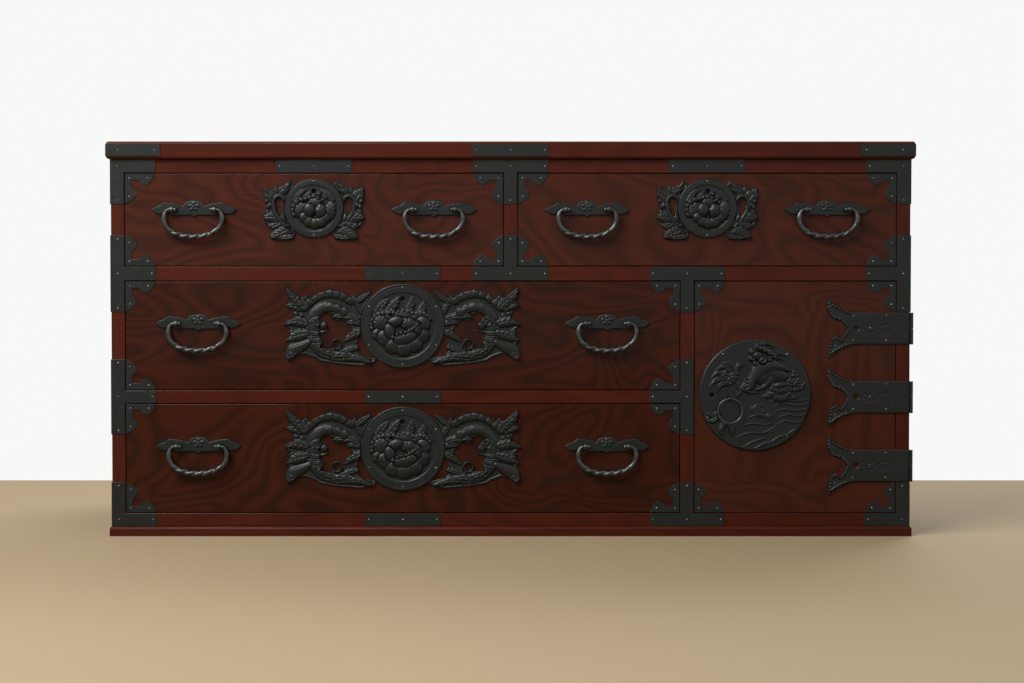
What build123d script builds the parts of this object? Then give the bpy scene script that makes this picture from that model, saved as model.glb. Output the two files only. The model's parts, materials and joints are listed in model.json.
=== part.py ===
from build123d import *
import math
import os

# Isho tansu: a Japanese clothing chest of lacquered zelkova with forged iron fittings.
# Two short drawers stand over two long ones, and a cabinet with one door fills the lower
# right corner.  X runs to the right, Y to the back and Z up.  The origin lies on the
# floor, under the middle of the whole piece, and every length is in millimetres.

os.makedirs("parts", exist_ok=True)

# ------------------------------------------------------------------ carcass
top_length = 1190.0  # top board, over its ends
top_thickness = 26.0
top_side_overhang = 5.0
top_front_overhang = 8.0
top_edge_radius = 4.0
carcass_depth = 450.0  # front of the rails to the outside of the back
panel_thickness = 20.0  # side panels and dividers
back_thickness = 10.0
bottom_thickness = 12.0
dust_thickness = 8.0
rail_depth = 60.0
base_height = 15.0
base_overhang = 3.5
base_width = 60.0
base_nose_radius = 5.0

# the rows of the front, from the base up
bottom_rail_height = 19.0
lower_opening_height = 163.0
lower_rail_height = 19.0
middle_opening_height = 162.0
middle_rail_height = 21.0
top_opening_height = 138.0
top_rail_height = 20.0
door_opening_width = 299.0

shelf_thickness = 12.0
shelf_setback = 60.0
cleat_size = 14.0
glue_line = 0.1  # between boards that are joined but stay separate pieces

# ------------------------------------------------------------------ drawers
front_gap = 1.2  # drawer front or door to its opening
slide_gap = 0.3  # drawer bottom to the board it slides on
front_thickness = 22.0
front_lap = 10.0  # wood left in front of the drawer side's rebate
side_thickness = 12.0
side_headroom = 6.0
drawer_bottom_thickness = 8.0
drawer_back_clearance = 8.0

# ------------------------------------------------------------------ door
door_thickness = 20.0
door_end_width = 45.0  # the boards that cap the door panel, top and bottom
door_tongue = 6.0

# ------------------------------------------------------------------ frame irons
iron_thickness = 1.0
iron_margin = 0.6  # bare wood beside an iron, so that it never crosses a drawer's gap
iron_reach = 46.0  # past the joint that an iron ties
iron_return = 40.0  # round the corner, on the side panel
edge_iron_height = 17.5
edge_iron_length = 80.0
corner_iron_size = 45.0
corner_iron_web = 9.5

# ------------------------------------------------------------------ lock plates
wing_thickness = 1.6
disc_thickness = 3.0
disc_sides = 60
keyhole_radius = 3.7
keyhole_sides = 12
short_disc_radius = 43.5
short_keyhole_rise = 25.0
short_disc_rise = 17.0  # disc centre above the drawer front's centre
long_disc_radius = 62.3
long_keyhole_rise = 40.0
long_disc_rise = 14.5
long_curl_radius = 8.8
long_curl_hole = 5.0
curl_sides = 10
lock_case_width = 60.0
lock_case_height = 50.0
lock_case_depth = 11.0
lock_case_drop = 10.0  # case centre below the keyhole
case_gap = 0.3

# ------------------------------------------------------------------ handles
short_handle_offset = 177.0  # from the middle of a short drawer
short_handle_rise = 14.5
long_handle_offset = 302.0
long_handle_rise = 17.8
handle_plate_thickness = 1.6
post_spacing = 62.8
post_width = 5.0
post_radius = 4.7
post_stand_off = 9.6  # pivot line in front of the wood
post_shank = 4.0
post_clench = 14.0
post_gap = 0.15  # shank in its slot
bail_radius = 3.0  # corner to centre of the forged bar
bail_hole_clearance = 0.25
post_hole_radius = bail_radius + bail_hole_clearance
bail_knob_radius = 4.2
bail_knob_length = 3.0
bail_drop = 40.0
bail_half_width = 45.0
bail_shoulder = 13.0  # pivot line down to the widest point of the bow
bail_fullness = 2.2  # 2 is an ellipse, more is squarer
bail_facets = 12  # along the bow
bar_sides = 6

# ------------------------------------------------------------------ door ironwork
hinge_height = 47.0
hinge_gap = 1.0  # strap to the frame iron beside it
hinge_thickness = 1.6
hinge_stand_off = 2.1  # pin centre outside the carcass, to the side and to the front
knuckle_radius = 2.5
knuckle_gap = 0.3
pin_radius = 1.25
pin_fit = 0.05
barrel_sides = 16
hinge_length = 121.0  # over door and side panel, up to the corner
hinge_horn = 44.0  # half the height over the horn tips
hinge_eye_radius = 4.0
hinge_eye_inset = 79.5  # eye centre from the carcass corner
door_disc_radius = 83.0
door_disc_inset = 90.0  # disc centre from the opening's left edge
door_disc_rise = 3.0
door_keyhole_inset = 26.0
ring_inset = 52.7
ring_rise = -2.0
ring_radius = 18.0
ring_bar_radius = 1.6
ring_post_radius = 4.0
ring_post_width = 4.0
ring_hole_clearance = 0.45
ring_facets = 24
eye_sides = 8

# ------------------------------------------------------------------ levels and lines
carcass_width = top_length - 2 * top_side_overhang
side_x = carcass_width / 2
inner_x = side_x - panel_thickness
front_reach = post_stand_off + post_radius
face_y = front_reach - (carcass_depth + front_reach) / 2
back_y = face_y + carcass_depth
back_inside_y = back_y - back_thickness
rail_back_y = face_y + rail_depth

bottom_sill = base_height
lower_sill = bottom_sill + bottom_rail_height
lower_head = lower_sill + lower_opening_height
middle_sill = lower_head + lower_rail_height
middle_head = middle_sill + middle_opening_height
top_sill = middle_head + middle_rail_height
top_head = top_sill + top_opening_height
carcass_top = top_head + top_rail_height

door_x = inner_x - door_opening_width
divider_x = door_x - panel_thickness
center_x = panel_thickness / 2
long_middle_x = (divider_x - inner_x) / 2


def front_plane(x=0.0, z=0.0, proud=0.0):
    """A plane that faces the viewer, a given way in front of the drawer fronts."""
    return Plane(origin=(x, face_y - proud, z), x_dir=(1, 0, 0), z_dir=(0, -1, 0))


def keep(piece, name):
    """Name a finished piece and write it out."""
    piece.part.label = name
    export_step(piece.part, f"parts/{name}.step")


def plate_patch(x, z):
    """A rectangle of iron between two lines on each axis, in an open sketch."""
    with Locations(((x[0] + x[1]) / 2, (z[0] + z[1]) / 2)):
        Rectangle(abs(x[1] - x[0]), z[1] - z[0])


def slab(x, y, z):
    """A squared board between two planes on each axis, added to the open part."""
    with BuildSketch(Plane.XY.offset(z[0])) as plan:
        plate_patch(x, y)
    extrude(plan.sketch, amount=z[1] - z[0])


# ================================================================== carcass
with BuildPart() as top_board:
    slab(
        (-top_length / 2, top_length / 2),
        (face_y - top_front_overhang, back_y),
        (carcass_top, carcass_top + top_thickness),
    )
    back_edges = top_board.faces().sort_by(Axis.Y)[-1].edges()
    fillet(top_board.edges().filter_by(Axis.Z, reverse=True) - back_edges, top_edge_radius)
keep(top_board, "top_board")

for side, name in ((-1, "side_panel_left"), (1, "side_panel_right")):
    with BuildPart() as side_panel:
        slab(
            sorted((side * side_x, side * inner_x)),
            (face_y, back_y),
            (bottom_sill, carcass_top),
        )
    keep(side_panel, name)

with BuildPart() as back_panel:
    slab((-inner_x, inner_x), (back_inside_y, back_y), (bottom_sill, carcass_top))
keep(back_panel, "back_panel")

with BuildPart() as bottom_board:
    slab(
        (-inner_x, inner_x),
        (rail_back_y, back_inside_y),
        (lower_sill - bottom_thickness, lower_sill),
    )
keep(bottom_board, "bottom_board")

# a bullnosed frame of four mouldings, mitred at its corners
with BuildPart() as base_moulding:
    slab(
        (-side_x - base_overhang, side_x + base_overhang),
        (face_y - base_overhang, back_y),
        (0, base_height),
    )
    base_back = base_moulding.faces().sort_by(Axis.Y)[-1].edges()
    fillet(base_moulding.edges().group_by(Axis.Z)[-1] - base_back, base_nose_radius)
    with BuildSketch(Plane.XY):
        plate_patch(
            (-side_x - base_overhang + base_width, side_x + base_overhang - base_width),
            (face_y - base_overhang + base_width, back_y - base_width),
        )
    extrude(amount=base_height, mode=Mode.SUBTRACT)
    for corner_x in (-1, 1):
        for corner_y, edge_y in ((-1, face_y - base_overhang), (1, back_y)):
            mitre = Plane(
                origin=(corner_x * (side_x + base_overhang), edge_y, 0),
                x_dir=(-corner_x, -corner_y, 0),
                z_dir=(0, 0, 1),
            )
            with BuildSketch(mitre):
                Rectangle(4 * base_width, glue_line)
            extrude(amount=base_height, mode=Mode.SUBTRACT)
keep(base_moulding, "base_moulding")

rails = (
    ("bottom_rail", bottom_sill, lower_sill, inner_x),
    ("lower_rail", lower_head, middle_sill, divider_x),
    ("middle_rail", middle_head, top_sill, inner_x),
    ("top_rail", top_head, carcass_top, inner_x),
)
for name, low, high, right_end in rails:
    with BuildPart() as rail:
        slab((-inner_x, right_end), (face_y, rail_back_y), (low, high))
    keep(rail, name)


def divider(x, foot, head, crown):
    """An upright board, full depth, notched at its upper front corner round a rail."""
    with BuildPart() as upright:
        with BuildSketch(Plane.YZ.offset(x)):
            with BuildLine():
                Polyline(
                    (face_y, foot),
                    (back_inside_y, foot),
                    (back_inside_y, crown),
                    (rail_back_y, crown),
                    (rail_back_y, head),
                    (face_y, head),
                    close=True,
                )
            make_face()
        extrude(amount=panel_thickness)
    return upright


center_divider = divider(-center_x, top_sill, top_head, carcass_top)
keep(center_divider, "center_divider")

lower_divider = divider(divider_x, lower_sill, middle_head, top_sill - dust_thickness)
keep(lower_divider, "lower_divider")

with BuildPart() as dust_panels:
    for sill, right_end in ((top_sill, inner_x), (middle_sill, divider_x)):
        slab(
            (-inner_x, right_end),
            (rail_back_y, back_inside_y),
            (sill - dust_thickness, sill),
        )
keep(dust_panels, "dust_panels")

shelf_z = (lower_sill + middle_head) / 2
shelf_y = (face_y + shelf_setback, back_inside_y)
with BuildPart() as cabinet_shelf:
    slab((door_x, inner_x), shelf_y, (shelf_z, shelf_z + shelf_thickness))
keep(cabinet_shelf, "cabinet_shelf")

with BuildPart() as shelf_cleats:
    slab((door_x, door_x + cleat_size), shelf_y, (shelf_z - cleat_size, shelf_z))
    slab((inner_x - cleat_size, inner_x), shelf_y, (shelf_z - cleat_size, shelf_z))
keep(shelf_cleats, "shelf_cleats")

# ================================================================== frame irons
# Each iron covers one member of the frame, less a margin along every opening.
rail_bands = {
    "bottom": (bottom_sill, lower_sill - iron_margin),
    "lower": (lower_head + iron_margin, middle_sill - iron_margin),
    "middle": (middle_head + iron_margin, top_sill - iron_margin),
    "top": (top_head + iron_margin, carcass_top),
}


def corner_iron(side, band, stem):
    """A plate on a rail's end and the side panel's edge, bent round on to the side."""
    outer = side * (side_x + iron_thickness)
    with BuildSketch(front_plane()) as front_leaf:
        plate_patch((outer, side * (inner_x - iron_reach)), rail_bands[band])
        plate_patch((outer, side * (inner_x + iron_margin)), stem)
    extrude(front_leaf.sketch, amount=iron_thickness)
    slab(
        sorted((side * side_x, outer)),
        (face_y - iron_thickness, face_y + iron_return),
        stem,
    )


with BuildPart() as frame_corner_irons:
    for side in (-1, 1):
        corner_iron(side, "top", (top_head - iron_reach, carcass_top))
        corner_iron(side, "bottom", (bottom_sill, lower_sill + iron_reach))
keep(frame_corner_irons, "frame_corner_irons")

with BuildPart() as frame_side_irons:
    middle_stem = (middle_head - iron_reach, top_sill + iron_reach)
    corner_iron(-1, "middle", middle_stem)
    corner_iron(1, "middle", middle_stem)
    corner_iron(-1, "lower", (lower_head - iron_reach, middle_sill + iron_reach))
keep(frame_side_irons, "frame_side_irons")

center_band = (-center_x + iron_margin, center_x - iron_margin)
divider_band = (divider_x + iron_margin, door_x - iron_margin)


def tee_reach(member):
    """The two ends of an iron that reaches past both sides of a member."""
    return (member[0] - iron_reach, member[1] + iron_reach)


with BuildPart() as frame_tee_irons:
    with BuildSketch(front_plane()):
        plate_patch(tee_reach(center_band), rail_bands["top"])
        plate_patch(center_band, (top_head - iron_reach, carcass_top))
        plate_patch(tee_reach(center_band), rail_bands["middle"])
        plate_patch(center_band, (middle_head + iron_margin, top_sill + iron_reach))
        plate_patch(tee_reach(divider_band), rail_bands["middle"])
        plate_patch(divider_band, (middle_head - iron_reach, top_sill - iron_margin))
        plate_patch((divider_x - iron_reach, door_x - iron_margin), rail_bands["lower"])
        plate_patch(divider_band, (lower_head - iron_reach, middle_sill + iron_reach))
        plate_patch(tee_reach(divider_band), rail_bands["bottom"])
        plate_patch(divider_band, (bottom_sill, lower_sill + iron_reach))
    extrude(amount=iron_thickness)
keep(frame_tee_irons, "frame_tee_irons")

short_middle_x = (inner_x + center_x) / 2
strap_half = iron_reach + center_x
with BuildPart() as rail_straps:
    with BuildSketch(front_plane()):
        for x, band in (
            (-short_middle_x, "top"),
            (short_middle_x, "top"),
            (long_middle_x, "middle"),
            (long_middle_x, "lower"),
            (long_middle_x, "bottom"),
        ):
            plate_patch((x - strap_half, x + strap_half), rail_bands[band])
    extrude(amount=iron_thickness)
keep(rail_straps, "rail_straps")

# bands round the ends of the top board, and one strap in the middle of its front edge
edge_iron_z = carcass_top + (top_thickness - edge_iron_height) / 2
top_front_y = face_y - top_front_overhang
with BuildPart() as top_edge_irons:
    edge_iron_levels = (edge_iron_z, edge_iron_z + edge_iron_height)
    edge_iron_y = (top_front_y - iron_thickness, top_front_y)
    slab((-strap_half, strap_half), edge_iron_y, edge_iron_levels)
    for side in (-1, 1):
        end_x = side * top_length / 2
        outer_x = end_x + side * iron_thickness
        slab(
            sorted((outer_x, end_x - side * edge_iron_length)),
            edge_iron_y,
            edge_iron_levels,
        )
        slab(
            sorted((end_x, outer_x)),
            (edge_iron_y[0], top_front_y + edge_iron_length),
            edge_iron_levels,
        )
keep(top_edge_irons, "top_edge_irons")


# ================================================================== ironwork outlines
def cusped_corner(x, z, turn_x, turn_z):
    """A corner iron in an open sketch: an L whose inner edge is two lobes and a hollow."""
    size = corner_iron_size
    web = corner_iron_web
    lobe = ((size, 0), (0.89 * size, 0.2 * size), (0.72 * size, 0.38 * size))
    neck = ((0.55 * size, 0.32 * size), (0.46 * size, web))
    half = lobe + neck + ((web, web),)
    mirrored = tuple((v, u) for u, v in reversed(half[:-1]))
    outline = ((0, 0),) + half + mirrored
    with BuildLine() as edge:
        Polyline(*((x + turn_x * u, z + turn_z * v) for u, v in outline), close=True)
    make_face(edge.edges())


def corner_irons(x, z):
    """Four cusped irons on the corners of a drawer front or a door."""
    with BuildPart() as irons:
        with BuildSketch(front_plane()):
            for corner_x, turn_x in ((x[0], 1), (x[1], -1)):
                for corner_z, turn_z in ((z[0], 1), (z[1], -1)):
                    cusped_corner(corner_x, corner_z, turn_x, turn_z)
        extrude(amount=iron_thickness)
    return irons


def short_wing():
    """The right wing of a short drawer's lock plate: a pierced scroll with a flared foot."""
    r = short_disc_radius
    with BuildLine() as leaf:
        Polyline(
            (0.6 * r, 0.7 * r),
            (0.8 * r, 0.97 * r),
            (0.95 * r, 0.83 * r),
            (1.14 * r, 0.71 * r),
            (1.28 * r, 0.77 * r),
            (1.39 * r, 0.6 * r),
            (1.68 * r, 0.71 * r),
        )
        ThreePointArc((1.68 * r, 0.71 * r), (1.71 * r, 0.4 * r), (1.6 * r, 0.03 * r))
        Polyline(
            (1.6 * r, 0.03 * r),
            (1.72 * r, -0.32 * r),
            (1.6 * r, -0.58 * r),
            (1.4 * r, -0.71 * r),
            (1.52 * r, -1.0 * r),
            (1.3 * r, -1.09 * r),
            (0.7 * r, -1.06 * r),
            (0.6 * r, -0.78 * r),
            (0.6 * r, 0.7 * r),
        )
    make_face(leaf.edges())
    with BuildLine() as opening:
        Polyline((1.29 * r, 0.12 * r), (1.23 * r, -0.15 * r), (1.12 * r, -0.27 * r))
        Line((1.12 * r, -0.27 * r), (1.04 * r, 0.18 * r))
        ThreePointArc((1.04 * r, 0.18 * r), (1.18 * r, 0.33 * r), (1.29 * r, 0.12 * r))
    make_face(opening.edges(), mode=Mode.SUBTRACT)
    with BuildLine() as gap_by_disc:
        Polyline((0.74 * r, -0.6 * r), (0.72 * r, -0.8 * r), (0.93 * r, -0.66 * r), close=True)
    make_face(gap_by_disc.edges(), mode=Mode.SUBTRACT)


def long_wing():
    """The right wing of a long drawer's lock plate: a leafy scroll round a wide opening."""
    r = long_disc_radius
    with BuildLine() as leaf:
        Polyline(
            (0.7 * r, 0.6 * r),
            (0.76 * r, 0.83 * r),
            (0.95 * r, 0.76 * r),
            (1.09 * r, 0.66 * r),
            (1.12 * r, 0.77 * r),
            (1.21 * r, 0.67 * r),
            (1.42 * r, 0.8 * r),
            (1.7 * r, 0.875 * r),
            (2.0 * r, 0.78 * r),
            (2.2 * r, 0.64 * r),
            (2.3 * r, 0.75 * r),
            (2.4 * r, 0.66 * r),
            (2.57 * r, 0.79 * r),
            (2.73 * r, 0.93 * r),
            (2.77 * r, 0.8 * r),
            (2.69 * r, 0.55 * r),
            (2.79 * r, 0.49 * r),
            (2.63 * r, 0.39 * r),
            (2.57 * r, 0.18 * r),
            (2.72 * r, 0.14 * r),
            (2.83 * r, 0.03 * r),
            (2.65 * r, -0.09 * r),
            (2.73 * r, -0.15 * r),
            (2.67 * r, -0.23 * r),
            (2.79 * r, -0.35 * r),
            (2.69 * r, -0.42 * r),
            (2.78 * r, -0.55 * r),
            (2.79 * r, -0.72 * r),
            (2.73 * r, -0.84 * r),
            (2.51 * r, -0.71 * r),
            (2.33 * r, -0.66 * r),
            (2.09 * r, -0.75 * r),
            (1.98 * r, -0.83 * r),
            (1.57 * r, -0.9 * r),
            (1.0 * r, -0.95 * r),
            (0.72 * r, -0.9 * r),
            (0.5 * r, -0.7 * r),
            close=True,
        )
    make_face(leaf.edges())
    with BuildLine() as opening:
        Polyline(
            (1.4 * r, 0.14 * r),
            (1.57 * r, 0.12 * r),
            (1.69 * r, 0.2 * r),
            (1.61 * r, 0.26 * r),
            (1.84 * r, 0.3 * r),
            (1.96 * r, 0.23 * r),
            (1.78 * r, 0.04 * r),
            (1.77 * r, -0.13 * r),
            (1.96 * r, -0.19 * r),
            (1.88 * r, -0.38 * r),
            (1.95 * r, -0.52 * r),
            (1.42 * r, -0.55 * r),
            (1.44 * r, -0.37 * r),
            (1.33 * r, -0.22 * r),
            (1.19 * r, -0.13 * r),
            (1.25 * r, 0.0),
            close=True,
        )
    make_face(opening.edges(), mode=Mode.SUBTRACT)
    with BuildLine() as gap_by_disc:
        Polyline(
            (0.9 * r, -0.2 * r),
            (0.6 * r, -0.75 * r),
            (0.72 * r, -0.77 * r),
            (1.03 * r, -0.66 * r),
            (1.11 * r, -0.58 * r),
            (0.99 * r, -0.53 * r),
            (1.09 * r, -0.43 * r),
            (1.0 * r, -0.2 * r),
            close=True,
        )
    make_face(gap_by_disc.edges(), mode=Mode.SUBTRACT)
    with Locations((1.56 * r, -0.43 * r)):
        RegularPolygon(long_curl_radius, curl_sides)
        RegularPolygon(long_curl_hole, curl_sides, mode=Mode.SUBTRACT)


def lock_plate(x, z, radius, keyhole_rise, wing):
    """A pierced plate with scroll wings beside a round boss, and the lock case behind."""
    with BuildPart() as lock:
        with BuildSketch(front_plane(x, z)):
            wing()
            mirror(about=Plane.YZ)
        extrude(amount=wing_thickness)
        with BuildSketch(front_plane(x, z)):
            RegularPolygon(radius, disc_sides)
        extrude(amount=disc_thickness)
        with BuildSketch(front_plane(x, z + keyhole_rise)):
            RegularPolygon(keyhole_radius, keyhole_sides)
        extrude(amount=disc_thickness, mode=Mode.SUBTRACT)
        case_z = z + keyhole_rise - lock_case_drop
        slab(
            (x - lock_case_width / 2, x + lock_case_width / 2),
            (face_y + front_thickness - lock_case_depth, face_y + front_thickness),
            (case_z - lock_case_height / 2, case_z + lock_case_height / 2),
        )
    return lock


def eye_profile(x, z, radius, hole_radius, wood, width):
    """A split pin in side view: an eight-sided eye, a shank through the wood, clenched legs."""
    eye_y = face_y - post_stand_off
    leg_y = face_y + wood
    with BuildSketch(Plane.YZ.offset(x)) as profile:
        with Locations((eye_y, z)):
            RegularPolygon(radius, eye_sides)
            RegularPolygon(hole_radius, eye_sides, major_radius=False, mode=Mode.SUBTRACT)
        neck_y = eye_y + hole_radius + (radius - hole_radius) / 2
        plate_patch((neck_y, leg_y), (z - post_shank / 2, z + post_shank / 2))
        plate_patch((leg_y, leg_y + iron_thickness), (z - post_clench / 2, z + post_clench / 2))
    extrude(profile.sketch, amount=width / 2, both=True)


def handle_outline():
    """A handle's back plate: a crown between two humps, pointed ends and a bud below."""
    end = post_spacing / 2
    with BuildLine() as right_half:
        Polyline(
            (0, 14.0),
            (7.0, 13.5),
            (12.4, 11.2),
            (16.0, 6.2),
            (end - 3, 9.8),
            (end + 12, 11.4),
            (end + 19, 6.4),
            (end + 25, 4.6),
            (end + 31.6, 0),
            (end + 25, -5.6),
            (end + 18, -6.8),
            (end + 5, -5.0),
            (end + 3, -8.0),
            (4.5, -8.0),
            (0, -11.5),
        )
        mirror(about=Plane.YZ)
    make_face(right_half.edges())


def handle_plates(x_pair, z):
    """Two back plates and the four eyed posts that pass through the drawer front."""
    slot = (post_width + 2 * post_gap, post_shank + 2 * post_gap)
    with BuildPart() as plates:
        for x in x_pair:
            with BuildSketch(front_plane(x, z)):
                handle_outline()
                with GridLocations(post_spacing, 0, 2, 1):
                    Rectangle(*slot, mode=Mode.SUBTRACT)
            extrude(amount=handle_plate_thickness)
        for x in x_pair:
            for post_x in (x - post_spacing / 2, x + post_spacing / 2):
                eye_profile(post_x, z, post_radius, post_hole_radius, front_thickness, post_width)
    return plates


def bow_point(turn):
    """The bow is a superellipse below the shoulder; turn runs from 0 to 180 degrees."""
    across = math.cos(math.radians(turn))
    down = math.sin(math.radians(turn))
    power = 2 / bail_fullness
    x = bail_half_width * math.copysign(abs(across) ** power, across)
    return (x, -bail_shoulder - (bail_drop - bail_shoulder) * down**power)


def bail(x, z):
    """A forged bail: hooked ends that run through the eyes, and a full round bow."""
    tip = post_spacing / 2 - post_width / 2 - 2
    bend = post_spacing / 2 + post_width / 2 + 2
    shoulder = (0.94 * bail_half_width, -0.35 * bail_shoulder)
    bow = [bow_point(180 * step / bail_facets) for step in range(bail_facets + 1)]
    with BuildPart() as handle:
        with BuildLine(front_plane(x, z, post_stand_off)) as path:
            Polyline(
                (tip, 0),
                (bend, 0),
                shoulder,
                *bow,
                (-shoulder[0], shoulder[1]),
                (-bend, 0),
                (-tip, 0),
            )
        with BuildSketch(Plane(origin=path.line @ 0, z_dir=path.line % 0)):
            RegularPolygon(bail_radius, bar_sides)
        sweep(transition=Transition.RIGHT)
        for end in (0, 1):
            outward = (path.line % end) * (2 * end - 1)
            with BuildSketch(Plane(origin=path.line @ end, z_dir=outward)):
                RegularPolygon(bail_knob_radius, bar_sides)
            extrude(amount=bail_knob_length)
    return handle


# ================================================================== drawers
def rebate(x, z):
    """Cut the back of the open drawer front away, up to the lap."""
    with BuildSketch(Plane.XY.offset(z[0])) as cut:
        plate_patch(x, (face_y + front_lap, face_y + front_thickness))
    extrude(cut.sketch, amount=z[1] - z[0], mode=Mode.SUBTRACT)


def drawer_front(x, z, handles, handle_z, keyhole):
    """The front board, rebated for the sides and bottom and cut for lock and handles."""
    middle = (x[0] + x[1]) / 2
    with BuildPart() as front:
        slab(x, (face_y, face_y + front_thickness), z)
        rebate((x[0], x[0] + side_thickness + glue_line), z)
        rebate((x[1] - side_thickness - glue_line, x[1]), z)
        rebate(x, (z[0], z[0] - front_gap + slide_gap + drawer_bottom_thickness + glue_line))
        with BuildSketch(front_plane(middle, keyhole)):
            Rectangle(2 * keyhole_radius, 2 * keyhole_radius)
        extrude(amount=-front_thickness, mode=Mode.SUBTRACT)
        with BuildSketch(front_plane(middle, keyhole - lock_case_drop, -front_thickness)):
            Rectangle(lock_case_width + 2 * case_gap, lock_case_height + 2 * case_gap)
        extrude(amount=lock_case_depth + case_gap, mode=Mode.SUBTRACT)
        with BuildSketch(front_plane(middle, handle_z)):
            for handle_x in handles:
                with Locations((handle_x - middle, 0)):
                    with GridLocations(post_spacing, 0, 2, 1):
                        Rectangle(post_width + 2 * post_gap, post_shank + 2 * post_gap)
        extrude(amount=-front_thickness, mode=Mode.SUBTRACT)
    return front


def make_drawer(name, opening_x, opening_z, handle_offset, handle_rise, lock):
    """All the pieces of one drawer, in the opening that it fills."""
    x = (opening_x[0] + front_gap, opening_x[1] - front_gap)
    z = (opening_z[0] + front_gap, opening_z[1] - front_gap)
    middle_x = (x[0] + x[1]) / 2
    middle_z = (opening_z[0] + opening_z[1]) / 2
    radius, disc_rise, keyhole_rise, wing = lock
    disc_z = middle_z + disc_rise
    handles = (middle_x - handle_offset, middle_x + handle_offset)
    handle_z = middle_z + handle_rise

    front = drawer_front(x, z, handles, handle_z, disc_z + keyhole_rise)
    keep(front, f"{name}_front")

    floor_z = opening_z[0] + slide_gap + drawer_bottom_thickness
    rear_y = back_inside_y - drawer_back_clearance
    with BuildPart() as bottom:
        slab(
            x,
            (face_y + front_lap + glue_line, rear_y),
            (opening_z[0] + slide_gap, floor_z),
        )
    keep(bottom, f"{name}_bottom")

    with BuildPart() as box:
        box_z = (floor_z, opening_z[1] - side_headroom)
        slab((x[0], x[0] + side_thickness), (face_y + front_lap + glue_line, rear_y), box_z)
        slab((x[1] - side_thickness, x[1]), (face_y + front_lap + glue_line, rear_y), box_z)
        between = side_thickness + glue_line
        slab((x[0] + between, x[1] - between), (rear_y - side_thickness, rear_y), box_z)
    keep(box, f"{name}_box")

    keep(corner_irons(x, z), f"{name}_corner_irons")
    keep(lock_plate(middle_x, disc_z, radius, keyhole_rise, wing), f"{name}_lock")
    keep(handle_plates(handles, handle_z), f"{name}_handle_plates")
    keep(bail(handles[0], handle_z), f"{name}_left_bail")
    keep(bail(handles[1], handle_z), f"{name}_right_bail")


short_lock = (short_disc_radius, short_disc_rise, short_keyhole_rise, short_wing)
long_lock = (long_disc_radius, long_disc_rise, long_keyhole_rise, long_wing)
make_drawer(
    "top_left_drawer",
    (-inner_x, -center_x),
    (top_sill, top_head),
    short_handle_offset,
    short_handle_rise,
    short_lock,
)
make_drawer(
    "top_right_drawer",
    (center_x, inner_x),
    (top_sill, top_head),
    short_handle_offset,
    short_handle_rise,
    short_lock,
)
make_drawer(
    "middle_drawer",
    (-inner_x, divider_x),
    (middle_sill, middle_head),
    long_handle_offset,
    long_handle_rise,
    long_lock,
)
make_drawer(
    "lower_drawer",
    (-inner_x, divider_x),
    (lower_sill, lower_head),
    long_handle_offset,
    long_handle_rise,
    long_lock,
)

# ================================================================== door
door_left = door_x + front_gap
door_right = inner_x - front_gap
door_foot = lower_sill + front_gap
door_head = middle_head - front_gap
door_y = (face_y, face_y + door_thickness)
tongue_y = (face_y + door_thickness / 3, face_y + 2 * door_thickness / 3)
disc_x = door_x + door_disc_inset
disc_z = (lower_sill + middle_head) / 2 + door_disc_rise
door_keyhole_x = door_x + door_keyhole_inset
ring_x = door_x + ring_inset
ring_z = (lower_sill + middle_head) / 2 + ring_rise
case_x = (
    door_keyhole_x + lock_case_drop - lock_case_height / 2,
    door_keyhole_x + lock_case_drop + lock_case_height / 2,
)
case_z = (disc_z - lock_case_width / 2, disc_z + lock_case_width / 2)
case_front_y = face_y + door_thickness - lock_case_depth
post_slot = (ring_post_width + 2 * post_gap, post_shank + 2 * post_gap)

with BuildPart() as door_panel:
    panel_foot = door_foot + door_end_width
    panel_head = door_head - door_end_width
    slab((door_left, door_right), door_y, (panel_foot, panel_head))
    slab((door_left, door_right), tongue_y, (panel_foot - door_tongue, panel_foot))
    slab((door_left, door_right), tongue_y, (panel_head, panel_head + door_tongue))
    with BuildSketch(front_plane()):
        with Locations((door_keyhole_x, disc_z)):
            Rectangle(2 * keyhole_radius, 2 * keyhole_radius)
        with Locations((ring_x, ring_z)):
            Rectangle(*post_slot)
    extrude(amount=-door_thickness, mode=Mode.SUBTRACT)
    with BuildSketch(front_plane(proud=-door_thickness)):
        plate_patch(
            (case_x[0] - case_gap, case_x[1] + case_gap),
            (case_z[0] - case_gap, case_z[1] + case_gap),
        )
    extrude(amount=lock_case_depth + case_gap, mode=Mode.SUBTRACT)
keep(door_panel, "door_panel")

with BuildPart() as door_end_boards:
    groove_y = (tongue_y[0] - glue_line, tongue_y[1] + glue_line)
    for joint, edge, turn in ((panel_foot, door_foot, -1), (panel_head, door_head, 1)):
        slab((door_left, door_right), door_y, sorted((joint + turn * glue_line, edge)))
        groove = sorted((joint, joint + turn * (door_tongue + glue_line)))
        with BuildSketch(Plane.XY.offset(groove[0])):
            plate_patch((door_left, door_right), groove_y)
        extrude(amount=groove[1] - groove[0], mode=Mode.SUBTRACT)
keep(door_end_boards, "door_end_boards")

door_corner_irons = corner_irons((door_left, door_right), (door_foot, door_head))
keep(door_corner_irons, "door_corner_irons")

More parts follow.
